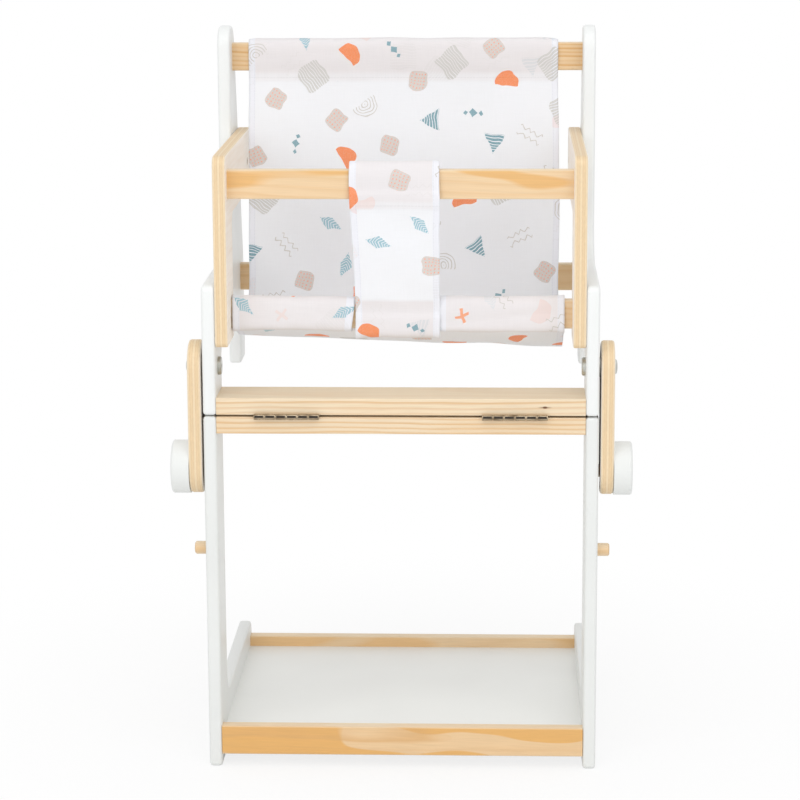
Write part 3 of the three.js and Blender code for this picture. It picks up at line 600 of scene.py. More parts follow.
def printed_cotton(name, middle, half_width, offset, notch=None):
    """Plain-woven printed cotton: matt, thin enough to show light and a tint of what lies behind it.
    Its UV map holds the distance across and along the cloth in metres. A notch is given as its
    middle, its half width and where it starts along the cloth."""
    cloth = bpy.context.scene.doll_chair_cloth
    shapes = bpy.data.node_groups.get("scattered_shapes") or scattered_print()
    made, tree = new_material(name)
    place = add_node(tree, "ShaderNodeUVMap", {"uv_map": "cloth"})
    millimetres = add_node(
        tree, "ShaderNodeVectorMath", {"operation": "MULTIPLY_ADD"},
        {0: place, 1: (1000, 1000, 0), 2: (*offset, 0)},
    )
    front = add_node(tree, "ShaderNodeGroup", {"node_tree": shapes}, {"Place": millimetres}).outputs
    # The layer behind shows the print mirrored and from another place of the cloth
    mirrored = add_node(
        tree, "ShaderNodeVectorMath", {"operation": "MULTIPLY_ADD"},
        {0: millimetres, 1: (-1, 1, 0), 2: (173, 61, 0)},
    )
    behind = add_node(tree, "ShaderNodeGroup", {"node_tree": shapes}, {"Place": mirrored}).outputs
    wood_share = add_node(tree, "ShaderNodeAttribute", {"attribute_name": "over_wood"}).outputs["Fac"]
    double = add_node(tree, "ShaderNodeAttribute", {"attribute_name": "double"}).outputs["Fac"]
    seam = add_node(tree, "ShaderNodeAttribute", {"attribute_name": "seam"}).outputs["Fac"]
    axes = add_node(tree, "ShaderNodeSeparateXYZ", {}, {"Vector": place}).outputs
    off_middle = add_node(tree, "ShaderNodeMath", {"operation": "SUBTRACT"}, {0: axes["X"], 1: middle})
    from_middle = add_node(tree, "ShaderNodeMath", {"operation": "ABSOLUTE"}, {0: off_middle})
    fold_line = half_width - cloth.hem
    hem = add_node(
        tree, "ShaderNodeMapRange", {},
        {"Value": from_middle, "From Min": fold_line, "From Max": fold_line + 0.4 * MM},
    )
    if notch:
        off_notch = add_node(
            tree, "ShaderNodeMath", {"operation": "SUBTRACT"}, {0: axes["X"], 1: notch[0]}
        )
        from_notch = add_node(tree, "ShaderNodeMath", {"operation": "ABSOLUTE"}, {0: off_notch})
        beside = add_node(
            tree, "ShaderNodeMath", {"operation": "LESS_THAN"}, {0: from_notch, 1: notch[1] + cloth.hem}
        )
        beyond = add_node(
            tree, "ShaderNodeMath", {"operation": "GREATER_THAN"}, {0: axes["Y"], 1: notch[2]}
        )
        hem = add_node(
            tree, "ShaderNodeMath", {"operation": "MULTIPLY_ADD"}, {0: beside, 1: beyond, 2: hem}
        )
    doubled = add_node(tree, "ShaderNodeMath", {"operation": "MAXIMUM"}, {0: double, 1: hem})
    plain = add_node(
        tree, "ShaderNodeMix", {"data_type": "RGBA"},
        {"Factor": wood_share, "A": cloth.white, "B": cloth.over_wood},
    )
    # The hem lets less of what lies behind it show
    hem_share = add_node(tree, "ShaderNodeMath", {"operation": "MULTIPLY"}, {0: hem, 1: 0.85})
    edged = add_node(
        tree, "ShaderNodeMix", {"data_type": "RGBA"},
        {"Factor": hem_share, "A": plain, "B": cloth.hem_white},
    )
    # Where the cloth is double, the print on its other layer shows through faintly
    ghost = add_node(tree, "ShaderNodeMath", {"operation": "MULTIPLY"}, {0: doubled, 1: behind["Cover"]})
    ghost_share = add_node(tree, "ShaderNodeMath", {"operation": "MULTIPLY"}, {0: ghost, 1: 0.14})
    ghosted = add_node(
        tree, "ShaderNodeMix", {"data_type": "RGBA"},
        {"Factor": ghost_share, "A": edged, "B": behind["Ink"]},
    )
    # The ink soaks in unevenly
    soak = add_node(
        tree, "ShaderNodeTexNoise", {"noise_dimensions": "2D"},
        {"Vector": millimetres, "Scale": 1 / 1.1, "Detail": 2},
    )
    inked = add_node(
        tree, "ShaderNodeMapRange", {},
        {"Value": soak, "From Min": 0.3, "From Max": 0.6, "To Min": 0.88, "To Max": 1},
    )
    ink_share = add_node(tree, "ShaderNodeMath", {"operation": "MULTIPLY"}, {0: front["Cover"], 1: inked})
    printed = add_node(
        tree, "ShaderNodeMix", {"data_type": "RGBA"},
        {"Factor": ink_share, "A": ghosted, "B": front["Ink"]},
    )
    # Stitches along the hems and the seam, darkened by painted shade that stands for the shade in their
    # dimples and along the hem's edge
    stitch_off = add_node(
        tree, "ShaderNodeMath", {"operation": "SUBTRACT"}, {0: from_middle, 1: fold_line + 0.9 * MM}
    )
    stitch_far = add_node(tree, "ShaderNodeMath", {"operation": "ABSOLUTE"}, {0: stitch_off})
    seam_far = add_node(tree, "ShaderNodeMath", {"operation": "ABSOLUTE"}, {0: seam})
    sewn = 0.0
    for far, along in ((stitch_far, axes["Y"]), (seam_far, axes["X"])):
        near = add_node(
            tree, "ShaderNodeMapRange", {},
            {"Value": far, "From Min": 0.1 * MM, "From Max": 0.4 * MM, "To Min": 1, "To Max": 0},
        )
        step = add_node(tree, "ShaderNodeMath", {"operation": "DIVIDE"}, {0: along, 1: cloth.stitch})
        part = add_node(tree, "ShaderNodeMath", {"operation": "FRACT"}, {0: step})
        thread = add_node(tree, "ShaderNodeMath", {"operation": "LESS_THAN"}, {0: part, 1: 0.78})
        sewn = add_node(
            tree, "ShaderNodeMath", {"operation": "MULTIPLY_ADD"}, {0: near, 1: thread, 2: sewn}
        )
    # Thicker threads along and across the cloth
    slub = grains(tree, millimetres, (1 / 17, 1 / 0.7, 0), Detail=3)
    warp = grains(tree, millimetres, (1 / 0.7, 1 / 17, 0), Detail=3)
    threads = add_node(tree, "ShaderNodeMath", {"operation": "ADD"}, {0: slub, 1: warp})
    shade = add_node(
        tree, "ShaderNodeMapRange", {},
        {"Value": threads, "From Min": 0.6, "From Max": 1.4, "To Min": 0.97, "To Max": 1.015},
    )
    shaded = add_node(
        # The stitch lines darken the colour: painted shade
        tree, "ShaderNodeMath", {"operation": "MULTIPLY_ADD"}, {0: sewn, 1: -0.07, 2: shade}
    )
    colour = add_node(
        tree, "ShaderNodeVectorMath", {"operation": "SCALE"}, {"Vector": printed, "Scale": shaded}
    )
    # Real threads lie under half a millimetre apart: they are drawn at 0.9 mm, so that the weave shows
    thread_place = add_node(
        tree, "ShaderNodeVectorMath", {"operation": "SCALE"},
        {"Vector": millimetres, "Scale": math.tau / 0.9},
    )
    crossing = add_node(tree, "ShaderNodeVectorMath", {"operation": "SINE"}, {0: thread_place})
    crossing_axes = add_node(tree, "ShaderNodeSeparateXYZ", {}, {"Vector": crossing}).outputs
    weave = add_node(
        tree, "ShaderNodeMath", {"operation": "MULTIPLY"}, {0: crossing_axes["X"], 1: crossing_axes["Y"]}
    )
    woven = add_node(
        tree, "ShaderNodeMath", {"operation": "MULTIPLY_ADD"}, {0: threads, 1: 1.5, 2: weave}
    )
    height = add_node(tree, "ShaderNodeMath", {"operation": "MULTIPLY_ADD"}, {0: sewn, 1: -3, 2: woven})
    bump = add_node(tree, "ShaderNodeBump", {}, {"Strength": 0.3, "Distance": 0.00012, "Height": height})
    surface = add_node(
        tree, "ShaderNodeBsdfPrincipled", {},
        {
            "Base Color": colour, "Roughness": 0.88, "Normal": bump, "Sheen Weight": 0.12,
            "Sheen Roughness": 0.5,
        },
    )
    through = add_node(tree, "ShaderNodeBsdfTranslucent", {}, {"Color": colour, "Normal": bump})
    mixed = add_node(tree, "ShaderNodeMixShader", {}, {0: cloth.sheer, 1: surface, 2: through})
    add_node(tree, "ShaderNodeOutputMaterial", {}, {"Surface": mixed})
    return made


def pick(*parts):
    """Selects these objects alone and makes the last one active."""
    bpy.ops.object.select_all(action="DESELECT")
    for part in parts:
        part.hide_set(False)
        part.select_set(True)
    bpy.context.view_layer.objects.active = parts[-1]


def edit_faces(made, test):
    """Opens a mesh in edit mode with just the faces that pass a test selected."""
    pick(made)
    bpy.ops.object.mode_set(mode="EDIT")
    bpy.ops.mesh.select_mode(type="FACE")
    bpy.ops.mesh.select_all(action="DESELECT")
    bpy.ops.object.mode_set(mode="OBJECT")
    for face in made.data.polygons:
        face.select = test(face)
    bpy.ops.object.mode_set(mode="EDIT")


def stand_for(made, node):
    """Puts a finished piece in the place of a CAD node, on the body that holds the node."""
    bodies = frame["record"]["behaviour"]["bodies"]
    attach(made, next(body for body, nodes in bodies.items() if node in nodes))
    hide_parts(node)


def fair_copy(node, name, material, angle=38):
    """A merged copy of a CAD node with smooth round edges and flat faces, which stands for the node."""
    pick(frame["nodes"][node])
    bpy.ops.object.duplicate()
    made = bpy.context.object
    made.name = name
    made.parent = None
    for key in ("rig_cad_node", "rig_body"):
        del made[key]
    bpy.ops.object.mode_set(mode="EDIT")
    bpy.ops.mesh.select_all(action="SELECT")
    bpy.ops.mesh.remove_doubles(threshold=0.002 * MM)
    bpy.ops.mesh.dissolve_limited(angle_limit=math.radians(0.6))
    bpy.ops.object.mode_set(mode="OBJECT")
    bpy.ops.object.shade_smooth_by_angle(angle=math.radians(angle))
    weighted = made.modifiers.new("flat_faces", "WEIGHTED_NORMAL")
    weighted.keep_sharp = True
    bpy.ops.object.modifier_apply(modifier=weighted.name)
    made.data.materials.clear()
    made.data.materials.append(material)
    stand_for(made, node)


def catmull(points, steps):
    """Smooth curve through points, as many short steps as asked between each two."""
    ends = [2 * points[0] - points[1], *points, 2 * points[-1] - points[-2]]
    curve = []
    for a, b, c, d in zip(ends, ends[1:], ends[2:], ends[3:]):
        for step in range(steps):
            t = step / steps
            second = 2 * a - 5 * b + 4 * c - d
            third = 3 * b - a - 3 * c + d
            curve.append(0.5 * (2 * b + (c - a) * t + second * t * t + third * t ** 3))
    curve.append(points[-1])
    return curve


def even_path(points, pitch):
    """Points at even distances along the smooth curve through the given points, and its length."""
    fine = catmull(points, steps=24)
    gone = [0.0]
    for before, after in zip(fine, fine[1:]):
        gone.append(gone[-1] + (after - before).length)
    count = round(gone[-1] / pitch)
    path = []
    index = 0
    for step in range(count + 1):
        target = gone[-1] * step / count
        while index < len(fine) - 2 and gone[index + 1] < target:
            index += 1
        share = (target - gone[index]) / (gone[index + 1] - gone[index])
        path.append(fine[index].lerp(fine[index + 1], share))
    return path, gone[-1]


def sleeve_round(box, slack, crown, drop):
    """Points of a loose sleeve round a slat: up its back, over its top and down its front, as (y, z)."""
    low, high = box
    lift = (high.z - low.z) * 0.14
    middle = (low.y + high.y) / 2
    return [
        Vector((high.y + slack * 0.8, low.z - slack * 0.4)),
        Vector((high.y + slack * 1.1, low.z + (high.z - low.z) * 0.45)),
        Vector((high.y + slack, high.z - lift)),
        Vector((high.y - slack, high.z + crown * 0.8)),
        Vector((middle, high.z + crown)),
        Vector((low.y + slack, high.z + crown * 0.75)),
        Vector((low.y - slack, high.z - lift)),
        Vector((low.y - slack * 1.15, low.z + (high.z - low.z) * 0.3)),
        Vector((low.y - slack, low.z - drop)),
    ]


def cloth_grid(name, path, low, high, pitch):
    """A flat grid to be laid along a path, and for each of its points the distance across and the row."""
    columns = round((high - low) / pitch)
    rows = len(path) - 1
    bpy.ops.object.select_all(action="DESELECT")
    bpy.ops.mesh.primitive_grid_add(x_subdivisions=columns, y_subdivisions=rows, size=1)
    made = bpy.context.object
    made.name = name
    made.data.name = name
    across = [low + (high - low) * column / columns for column in range(columns + 1)]
    return made, [(place, row) for row in range(rows + 1) for place in across]


def bell(value, middle, reach):
    """1 at the middle, falling smoothly to 0 at the reach on either side."""
    share = min(abs(value - middle) / reach, 1)
    return (1 - share * share) ** 2


def clamp(value):
    """A number held between 0 and 1."""
    return max(0.0, min(value, 1))


def fade(distance, millimetres):
    """1 at no distance, falling to a third at the given length and to a twentieth at three times that."""
    return math.exp(-distance / (millimetres * MM))


def ripple(millimetres, *place):
    """A smooth random height of up to the given size, which is the same each time at a place."""
    return millimetres * MM * noise.noise(Vector(place))


class ClothRun:
    """The way a cloth runs round its slats, row by row."""

    def __init__(self, points, pitch, seam):
        self.path, self.length = even_path(points, pitch)
        self.rows = len(self.path) - 1
        self.distances = [self.length * row / self.rows for row in range(self.rows + 1)]
        early = range(self.rows // 8, self.rows // 2)
        self.seam_row = min(early, key=lambda row: (self.path[row] - seam).length)

    def normal(self, row):
        """The side of the path that faces out of a sleeve and up from the seat."""
        before = self.path[max(row - 1, 0)]
        after = self.path[min(row + 1, self.rows)]
        along = (after - before).normalized()
        return Vector((along.y, -along.x))

    def tints(self, slat_low, roll_row):
        """For each row: how much wood lies behind it, whether it is double, and how far its seam is."""
        tints = {"over_wood": [], "double": [], "seam": []}
        for row, at in enumerate(self.path):
            in_sleeve = row <= self.seam_row
            on_slat = in_sleeve and at.y > slat_low - 1 * MM
            tints["over_wood"].append(1.0 if on_slat or row >= roll_row else 0.5 * in_sleeve)
            tints["double"].append(1.0 if in_sleeve or row >= roll_row else 0.0)
            tints["seam"].append(self.distances[row] - self.distances[self.seam_row] + 1 * MM)
        return tints


def finish_cloth(made, places, points, run, tints, cut=None):
    """Sets the shape, UV map and tints of a cloth grid, cuts it, smooths it and thickens it."""
    cloth = bpy.context.scene.doll_chair_cloth
    mesh = made.data
    for vertex, point in zip(mesh.vertices, points):
        vertex.co = point
    layer = mesh.uv_layers[0]
    layer.name = "cloth"
    for loop in mesh.loops:
        across, row = places[loop.vertex_index]
        layer.data[loop.index].uv = (across, run.distances[row])
    for key, values in tints.items():
        attribute = mesh.attributes.new(key, "FLOAT", "POINT")
        for index, (_, row) in enumerate(places):
            attribute.data[index].value = values[row]
    pick(made)
    if cut:

        def is_cut(face):
            corners = [places[index] for index in face.vertices]
            return cut(*(sum(values) / len(corners) for values in zip(*corners)))

        edit_faces(made, is_cut)
        bpy.ops.mesh.delete(type="FACE")
        bpy.ops.object.mode_set(mode="OBJECT")
    smooth = made.modifiers.new("smooth", "SUBSURF")
    smooth.levels = 1
    smooth.render_levels = 1
    smooth.boundary_smooth = "PRESERVE_CORNERS"
    thick = made.modifiers.new("thick", "SOLIDIFY")
    thick.thickness = cloth.thickness
    thick.offset = 0
    for modifier in (smooth.name, thick.name):
        bpy.ops.object.modifier_apply(modifier=modifier)
    bpy.ops.object.shade_smooth()


# Where the sling hangs between its two slats, as shares of the depth and height between them
HANG_SHARES = (
    (0.950, 0.696),
    (0.915, 0.424),
    (0.892, 0.163),
    (0.850, 0.022),
    (0.738, -0.073),
    (0.600, -0.122),
    (0.485, -0.137),
    (0.354, -0.126),
    (0.215, -0.090),
    (0.100, -0.046),
    (0.035, -0.014),
)
# Ripples of the sling: where, height in millimetres, turns per metre across and along it, and a seed
SLING_RIPPLES = (
    ("seat", 1.6, 22, 9, 3.1),
    ("hanging", 2.2, 17, 5, 7.7),
    ("roll", 1.1, 20, 150, 1.3),
    ("roll", 0.7, 70, 260, 6.3),
    ("sleeve", 0.7, 24, 120, 9.2),
)


class DOLLCHAIR_OT_stage(bpy.types.Operator):
    """Adds the camera, the lamps, the world and a pale floor"""

    bl_idname = "doll_chair.stage"
    bl_label = "Stage"

    def execute(self, context):
        stage = context.scene.doll_chair_stage
        context.scene.view_settings.view_transform = "Standard"
        bpy.ops.object.camera_add(
            location=(stage.eye_side, -stage.eye_back, stage.eye_height),
            rotation=(math.pi / 2 - stage.pitch, stage.roll, stage.yaw),
        )
        camera = context.object
        camera.data.lens = stage.lens
        camera.data.sensor_width = 36
        camera.data.clip_end = 50
        context.scene.camera = camera

        bpy.ops.mesh.primitive_plane_add(size=2 * stage.floor_reach, location=(0, 0, 0))
        floor = context.object
        floor.name = "floor"
        floor.data.materials.append(self.floor_material(stage))

        world = bpy.data.worlds.new("studio")
        context.scene.world = world
        world.use_nodes = True
        tree = world.node_tree
        tree.nodes.clear()
        seen = self.seen_share(tree)
        strength = add_node(
            tree, "ShaderNodeMapRange", {}, {"Value": seen, "To Min": stage.ambient, "To Max": 1.0}
        )
        sky = add_node(tree, "ShaderNodeBackground", {}, {"Color": (1, 1, 1, 1), "Strength": strength})
        add_node(tree, "ShaderNodeOutputWorld", {}, {"Surface": sky})

        # Each lamp: its place, its width in metres and its power in watts
        lamps = (
            ("key", (-1.0, -1.5, 0.85), 1.4, 4.7),
            ("fill", (0.85, -1.55, 0.8), 1.4, 4.2),
            ("top", (0, -1.0, 1.9), 1.4, 6.5),
        )
        aim = Vector((0, 0, 0.3))
        for name, place, size, power in lamps:
            bpy.ops.object.light_add(type="AREA", location=place)
            lamp = context.object
            lamp.name = name
            lamp.data.shape = "DISK"
            lamp.data.size = size
            lamp.data.energy = power
            lamp.rotation_euler = (aim - Vector(place)).to_track_quat("-Z", "Y").to_euler()
        return {"FINISHED"}

    def seen_share(self, tree):
        """1 for rays that show the background itself, in the picture, in metal or through cloth."""
        rays = add_node(tree, "ShaderNodeLightPath").outputs
        glossy = add_node(
            tree, "ShaderNodeMath", {"operation": "MAXIMUM"},
            {0: rays["Is Camera Ray"], 1: rays["Is Glossy Ray"]},
        )
        return add_node(
            tree, "ShaderNodeMath", {"operation": "MAXIMUM"}, {0: glossy, 1: rays["Is Transmission Ray"]}
        )

    def floor_material(self, stage):
        """Plain pale floor that keeps the object's shadow near it and fades into the white backdrop."""
        made, tree = new_material("pale_floor")
        place = add_node(tree, "ShaderNodeTexCoord").outputs["Object"]
        far = add_node(tree, "ShaderNodeVectorMath", {"operation": "LENGTH"}, {0: place})
        whiter = add_node(
            tree, "ShaderNodeMapRange", {"interpolation_type": "SMOOTHSTEP"},
            {"Value": far, "From Min": 0.1, "From Max": 0.55, "To Min": 0.8, "To Max": 1.0},
        )
        seen = self.seen_share(tree)
        share = add_node(tree, "ShaderNodeMath", {"operation": "MULTIPLY"}, {0: seen, 1: whiter})
        matt = add_node(tree, "ShaderNodeBsdfDiffuse", {}, {"Color": stage.floor_colour})
        white = add_node(tree, "ShaderNodeEmission", {}, {"Color": (1, 1, 1, 1), "Strength": 1.0})
        mixed = add_node(
            tree, "ShaderNodeMixShader", {},
            {0: share, 1: matt.outputs["BSDF"], 2: white.outputs["Emission"]},
        )
        add_node(tree, "ShaderNodeOutputMaterial", {}, {"Surface": mixed})
        return made


class DOLLCHAIR_OT_panels(bpy.types.Operator):
    """Adds the white lacquered sides, the tray board and the knobs"""

    bl_idname = "doll_chair.panels"
    bl_label = "Lacquered panels"

    def execute(self, context):
        lacquer = context.scene.doll_chair_lacquer
        white = satin_lacquer("satin_white_lacquer", lacquer.white)
        base = satin_lacquer("satin_base_lacquer", lacquer.base)
        tray = satin_lacquer("satin_tray_lacquer", lacquer.tray)
        for side in SIDES:
            fair_copy(f"base_side_{side}", f"base_panel_{side}", base)
            fair_copy(f"chair_side_{side}", f"chair_panel_{side}", white)
            fair_copy(f"latch_knob_{side}", f"round_knob_{side}", base)
        fair_copy("tray_board", "tray_panel", tray)
        return {"FINISHED"}


class DOLLCHAIR_OT_plywood(bpy.types.Operator):
    """Adds the plywood arm panels and latch arms"""

    bl_idname = "doll_chair.plywood"
    bl_label = "Plywood"

    def execute(self, context):
        for side in SIDES:
            for node, name in (("arm_panel", "arm_rest"), ("latch_arm", "latch_lever")):
                low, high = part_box(f"{node}_{side}")
                plywood = birch_plywood(f"birch_plywood_{name}_{side}", low, high)
                fair_copy(f"{node}_{side}", f"{name}_{side}", plywood)
        return {"FINISHED"}


class DOLLCHAIR_OT_boards(bpy.types.Operator):
    """Adds the pine slats, boards and rails"""

    bl_idname = "doll_chair.boards"
    bl_label = "Pine boards"

    def execute(self, context):
        for index, (node, board) in enumerate(BOARDS.items()):
            low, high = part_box(node)
            # No log is sawn quite along its pith, and each board leans its own way
            tilt = (0.035 * math.sin(index * 2.3 + 1), 0.045 * math.cos(index * 1.7))
            knot = None
            if node == "chair_board":
                # A small knot in the front edge, near the right end
                knot = Vector((low.x * 0.11 + high.x * 0.89, low.y, (low.z + high.z) / 2))
            pine = pine_wood(f"pine_{node}", (low + high) / 2, board, tilt, knot)
            fair_copy(node, f"{node}_wood", pine)
        return {"FINISHED"}


class DOLLCHAIR_OT_pegs(bpy.types.Operator):
    """Adds the dowel pegs that the latch levers hook onto"""

    bl_idname = "doll_chair.pegs"
    bl_label = "Pegs"

    def execute(self, context):
        for side in SIDES:
            for peg in ("catch_peg", "lock_peg"):
                low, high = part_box(f"{peg}_{side}")
                dowel = pine_wood(f"turned_{peg}_{side}", (low + high) / 2, DOWEL, (0, 0.03))
                fair_copy(f"{peg}_{side}", f"{peg}_dowel_{side}", dowel, angle=50)
        return {"FINISHED"}


class DOLLCHAIR_OT_fittings(bpy.types.Operator):
    """Adds the screws, washers, pivot bolts and nuts"""

    bl_idname = "doll_chair.fittings"
    bl_label = "Steel fittings"

    def execute(self, context):
        metal = context.scene.doll_chair_metal
        zinc = plated_steel("zinc_plated_steel", metal.zinc, metal.zinc_dull, 0.36, 0.5)
        for node in list(frame["nodes"]):
            if node.startswith(("screw_", "latch_washer_", "pivot_")):
                fair_copy(node, f"{node}_steel", zinc, angle=32)
        return {"FINISHED"}


class DOLLCHAIR_OT_hinges(bpy.types.Operator):
    """Adds the strip hinges: plates with screws, slotted knuckles and pins"""

    bl_idname = "doll_chair.hinges"
    bl_label = "Strip hinges"

    def execute(self, context):
        metal = context.scene.doll_chair_metal
        steel = plated_steel("nickel_plated_steel", metal.nickel, metal.tarnish, 0.24, 0.38)
        slot = self.slot_shade_material(metal)
        # The leaves are modelled for the left hinge and copied to the right one
        nodes = ("hinge_chair_leaf", "hinge_base_leaf")
        leaves = [self.leaf(metal, f"{node}_left", first, steel, slot) for first, node in enumerate(nodes)]
        fair_copy("hinge_pin_left", "hinge_pin_left_steel", steel)
        leaves += self.copies(leaves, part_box("hinge_pin_right")[0].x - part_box("hinge_pin_left")[0].x)
        fair_copy("hinge_pin_right", "hinge_pin_right_steel", steel)
        names = [f"{node}_{side}" for side in SIDES for node in nodes]
        for name, made in zip(names, leaves):
            made.name = f"{name}_steel"
            stand_for(made, name)
        return {"FINISHED"}

    def leaf(self, metal, node, first, steel, slot):
        """One leaf: its plate, every other knuckle from the first, and its screws, in one piece."""
        low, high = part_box(node)
        radius = (high.z - low.z) / 2
        axis_y, axis_z = low.y + radius, (low.z + high.z) / 2
        up = 1 if first == 0 else -1
        middle = axis_z + up * (metal.leaf_gap + metal.leaf) / 2
        clearance = 0.2 * MM
        plate_from = axis_y + radius + clearance
        start = low.x + first * metal.knuckle_pitch + metal.knuckle_gap / 2
        end = start + metal.knuckle_pitch - metal.knuckle_gap
        knuckle = self.knuckle(metal, start, end, radius, axis_y, axis_z)
        # Each knuckle is joined to the plate by a tab that starts inside it and ends inside the plate
        inside = axis_y + radius * 0.55
        tab = self.bar((start, inside), (end, plate_from + clearance), middle, metal.leaf)
        knuckles = [knuckle, tab]
        for step in range(1, metal.knuckles // 2):
            knuckles += self.copies([knuckle, tab], 2 * step * metal.knuckle_pitch)
        plate = self.bar((low.x, plate_from), (high.x, high.y), middle, metal.leaf)
        third = (high.x - low.x) / 3
        screw = self.screw_head(metal, low.x + third / 2, (plate_from + high.y) / 2, middle, up)
        screws = [screw]
        for step in (1, 2):
            screws += self.copies([screw], step * third)
        pick(*knuckles, *screws, plate)
        bpy.ops.object.join()
        round_off = plate.modifiers.new("round_off", "BEVEL")
        round_off.limit_method = "ANGLE"
        round_off.angle_limit = math.radians(50)
        round_off.width = metal.knuckle_edge
        round_off.segments = 2
        bpy.ops.object.modifier_apply(modifier=round_off.name)
        bpy.ops.object.shade_smooth_by_angle(angle=math.radians(35))
        plate.data.materials.append(steel)
        plate.data.materials.append(slot)
        # The walls and floors of the slots, in the fronts of the knuckles, get the painted shade: a dark
        # finish that stands for the shade and dark reflection there
        for face in plate.data.polygons:
            off_axis = math.hypot(face.center.y - axis_y, face.center.z - axis_z)
            in_slot = off_axis < radius * 0.9 and face.center.y < axis_y - 0.3 * radius
            face.material_index = 1 if in_slot and abs(face.normal.x) < 0.5 else 0
        return plate

    def copies(self, parts, along):
        """A copy of each part, each with its own mesh, moved along the waist."""
        pick(*parts)
        bpy.ops.object.duplicate()
        bpy.ops.transform.translate(value=(along, 0, 0))
        bpy.ops.object.transform_apply(location=True, rotation=True, scale=True)
        return list(bpy.context.selected_objects)

    def slot_shade_material(self, metal):
        """Painted shade and painted reflection in the slots of the knuckles: dark and matt."""
        made, tree = new_material("oiled_steel_slot")
        place = add_node(tree, "ShaderNodeTexCoord").outputs["Object"]
        dust = add_node(
            tree, "ShaderNodeTexNoise", {}, {"Vector": place, "Scale": once_in(1.1), "Detail": 2}
        )
        rough = add_node(tree, "ShaderNodeMapRange", {}, {"Value": dust, "To Min": 0.5, "To Max": 0.8})
        shader = add_node(
            tree, "ShaderNodeBsdfPrincipled", {}, {"Base Color": metal.slot, "Roughness": rough}
        )
        add_node(tree, "ShaderNodeOutputMaterial", {}, {"Surface": shader})
        return made

    def bar(self, low, high, middle, thickness):
        """A flat bar of steel between two corners, at a height."""
        place = ((low[0] + high[0]) / 2, (low[1] + high[1]) / 2, middle)
        bpy.ops.object.select_all(action="DESELECT")
        bpy.ops.mesh.primitive_cube_add(size=1, location=place)
        bpy.ops.transform.resize(value=(high[0] - low[0], high[1] - low[1], thickness))
        bpy.ops.object.transform_apply(location=True, rotation=True, scale=True)
        return bpy.context.object

    def knuckle(self, metal, start, end, radius, axis_y, axis_z):
        """A short tube with a slot pressed into its front."""
        bpy.ops.object.select_all(action="DESELECT")
        bpy.ops.mesh.primitive_cylinder_add(
            vertices=28, radius=radius, depth=end - start,
            location=((start + end) / 2, axis_y, axis_z), rotation=(0, math.pi / 2, 0),
        )
        made = bpy.context.object
        bpy.ops.object.transform_apply(location=True, rotation=True, scale=True)
        # The slots face forwards and a little up
        front = Vector((0, -0.975, 0.223))
        edit_faces(made, lambda face: face.normal.dot(front) > 0.8)
        bpy.ops.mesh.inset(thickness=metal.slot_frame)
        bpy.ops.mesh.extrude_region_move(TRANSFORM_OT_translate={"value": -metal.slot_depth * front})
        bpy.ops.object.mode_set(mode="OBJECT")
        return made

    def screw_head(self, metal, x, y, middle, up):
        """A countersunk head almost flush with its leaf, with a pressed round recess."""
        outer = middle - up * metal.leaf / 2
        bpy.ops.object.select_all(action="DESELECT")
        bpy.ops.mesh.primitive_cylinder_add(
            vertices=32, radius=metal.leaf_screw, depth=metal.leaf * 0.8,
            location=(x, y, outer + up * metal.leaf * 0.3),
        )
        bpy.ops.object.transform_apply(location=True, rotation=True, scale=True)
        made = bpy.context.object
        edit_faces(made, lambda face: face.normal.z * up < -0.9)
        bpy.ops.mesh.inset(thickness=metal.leaf_screw * 0.55)
        bpy.ops.mesh.extrude_region_move(TRANSFORM_OT_translate={"value": (0, 0, up * metal.leaf * 0.5)})
        bpy.ops.object.mode_set(mode="OBJECT")
        return made


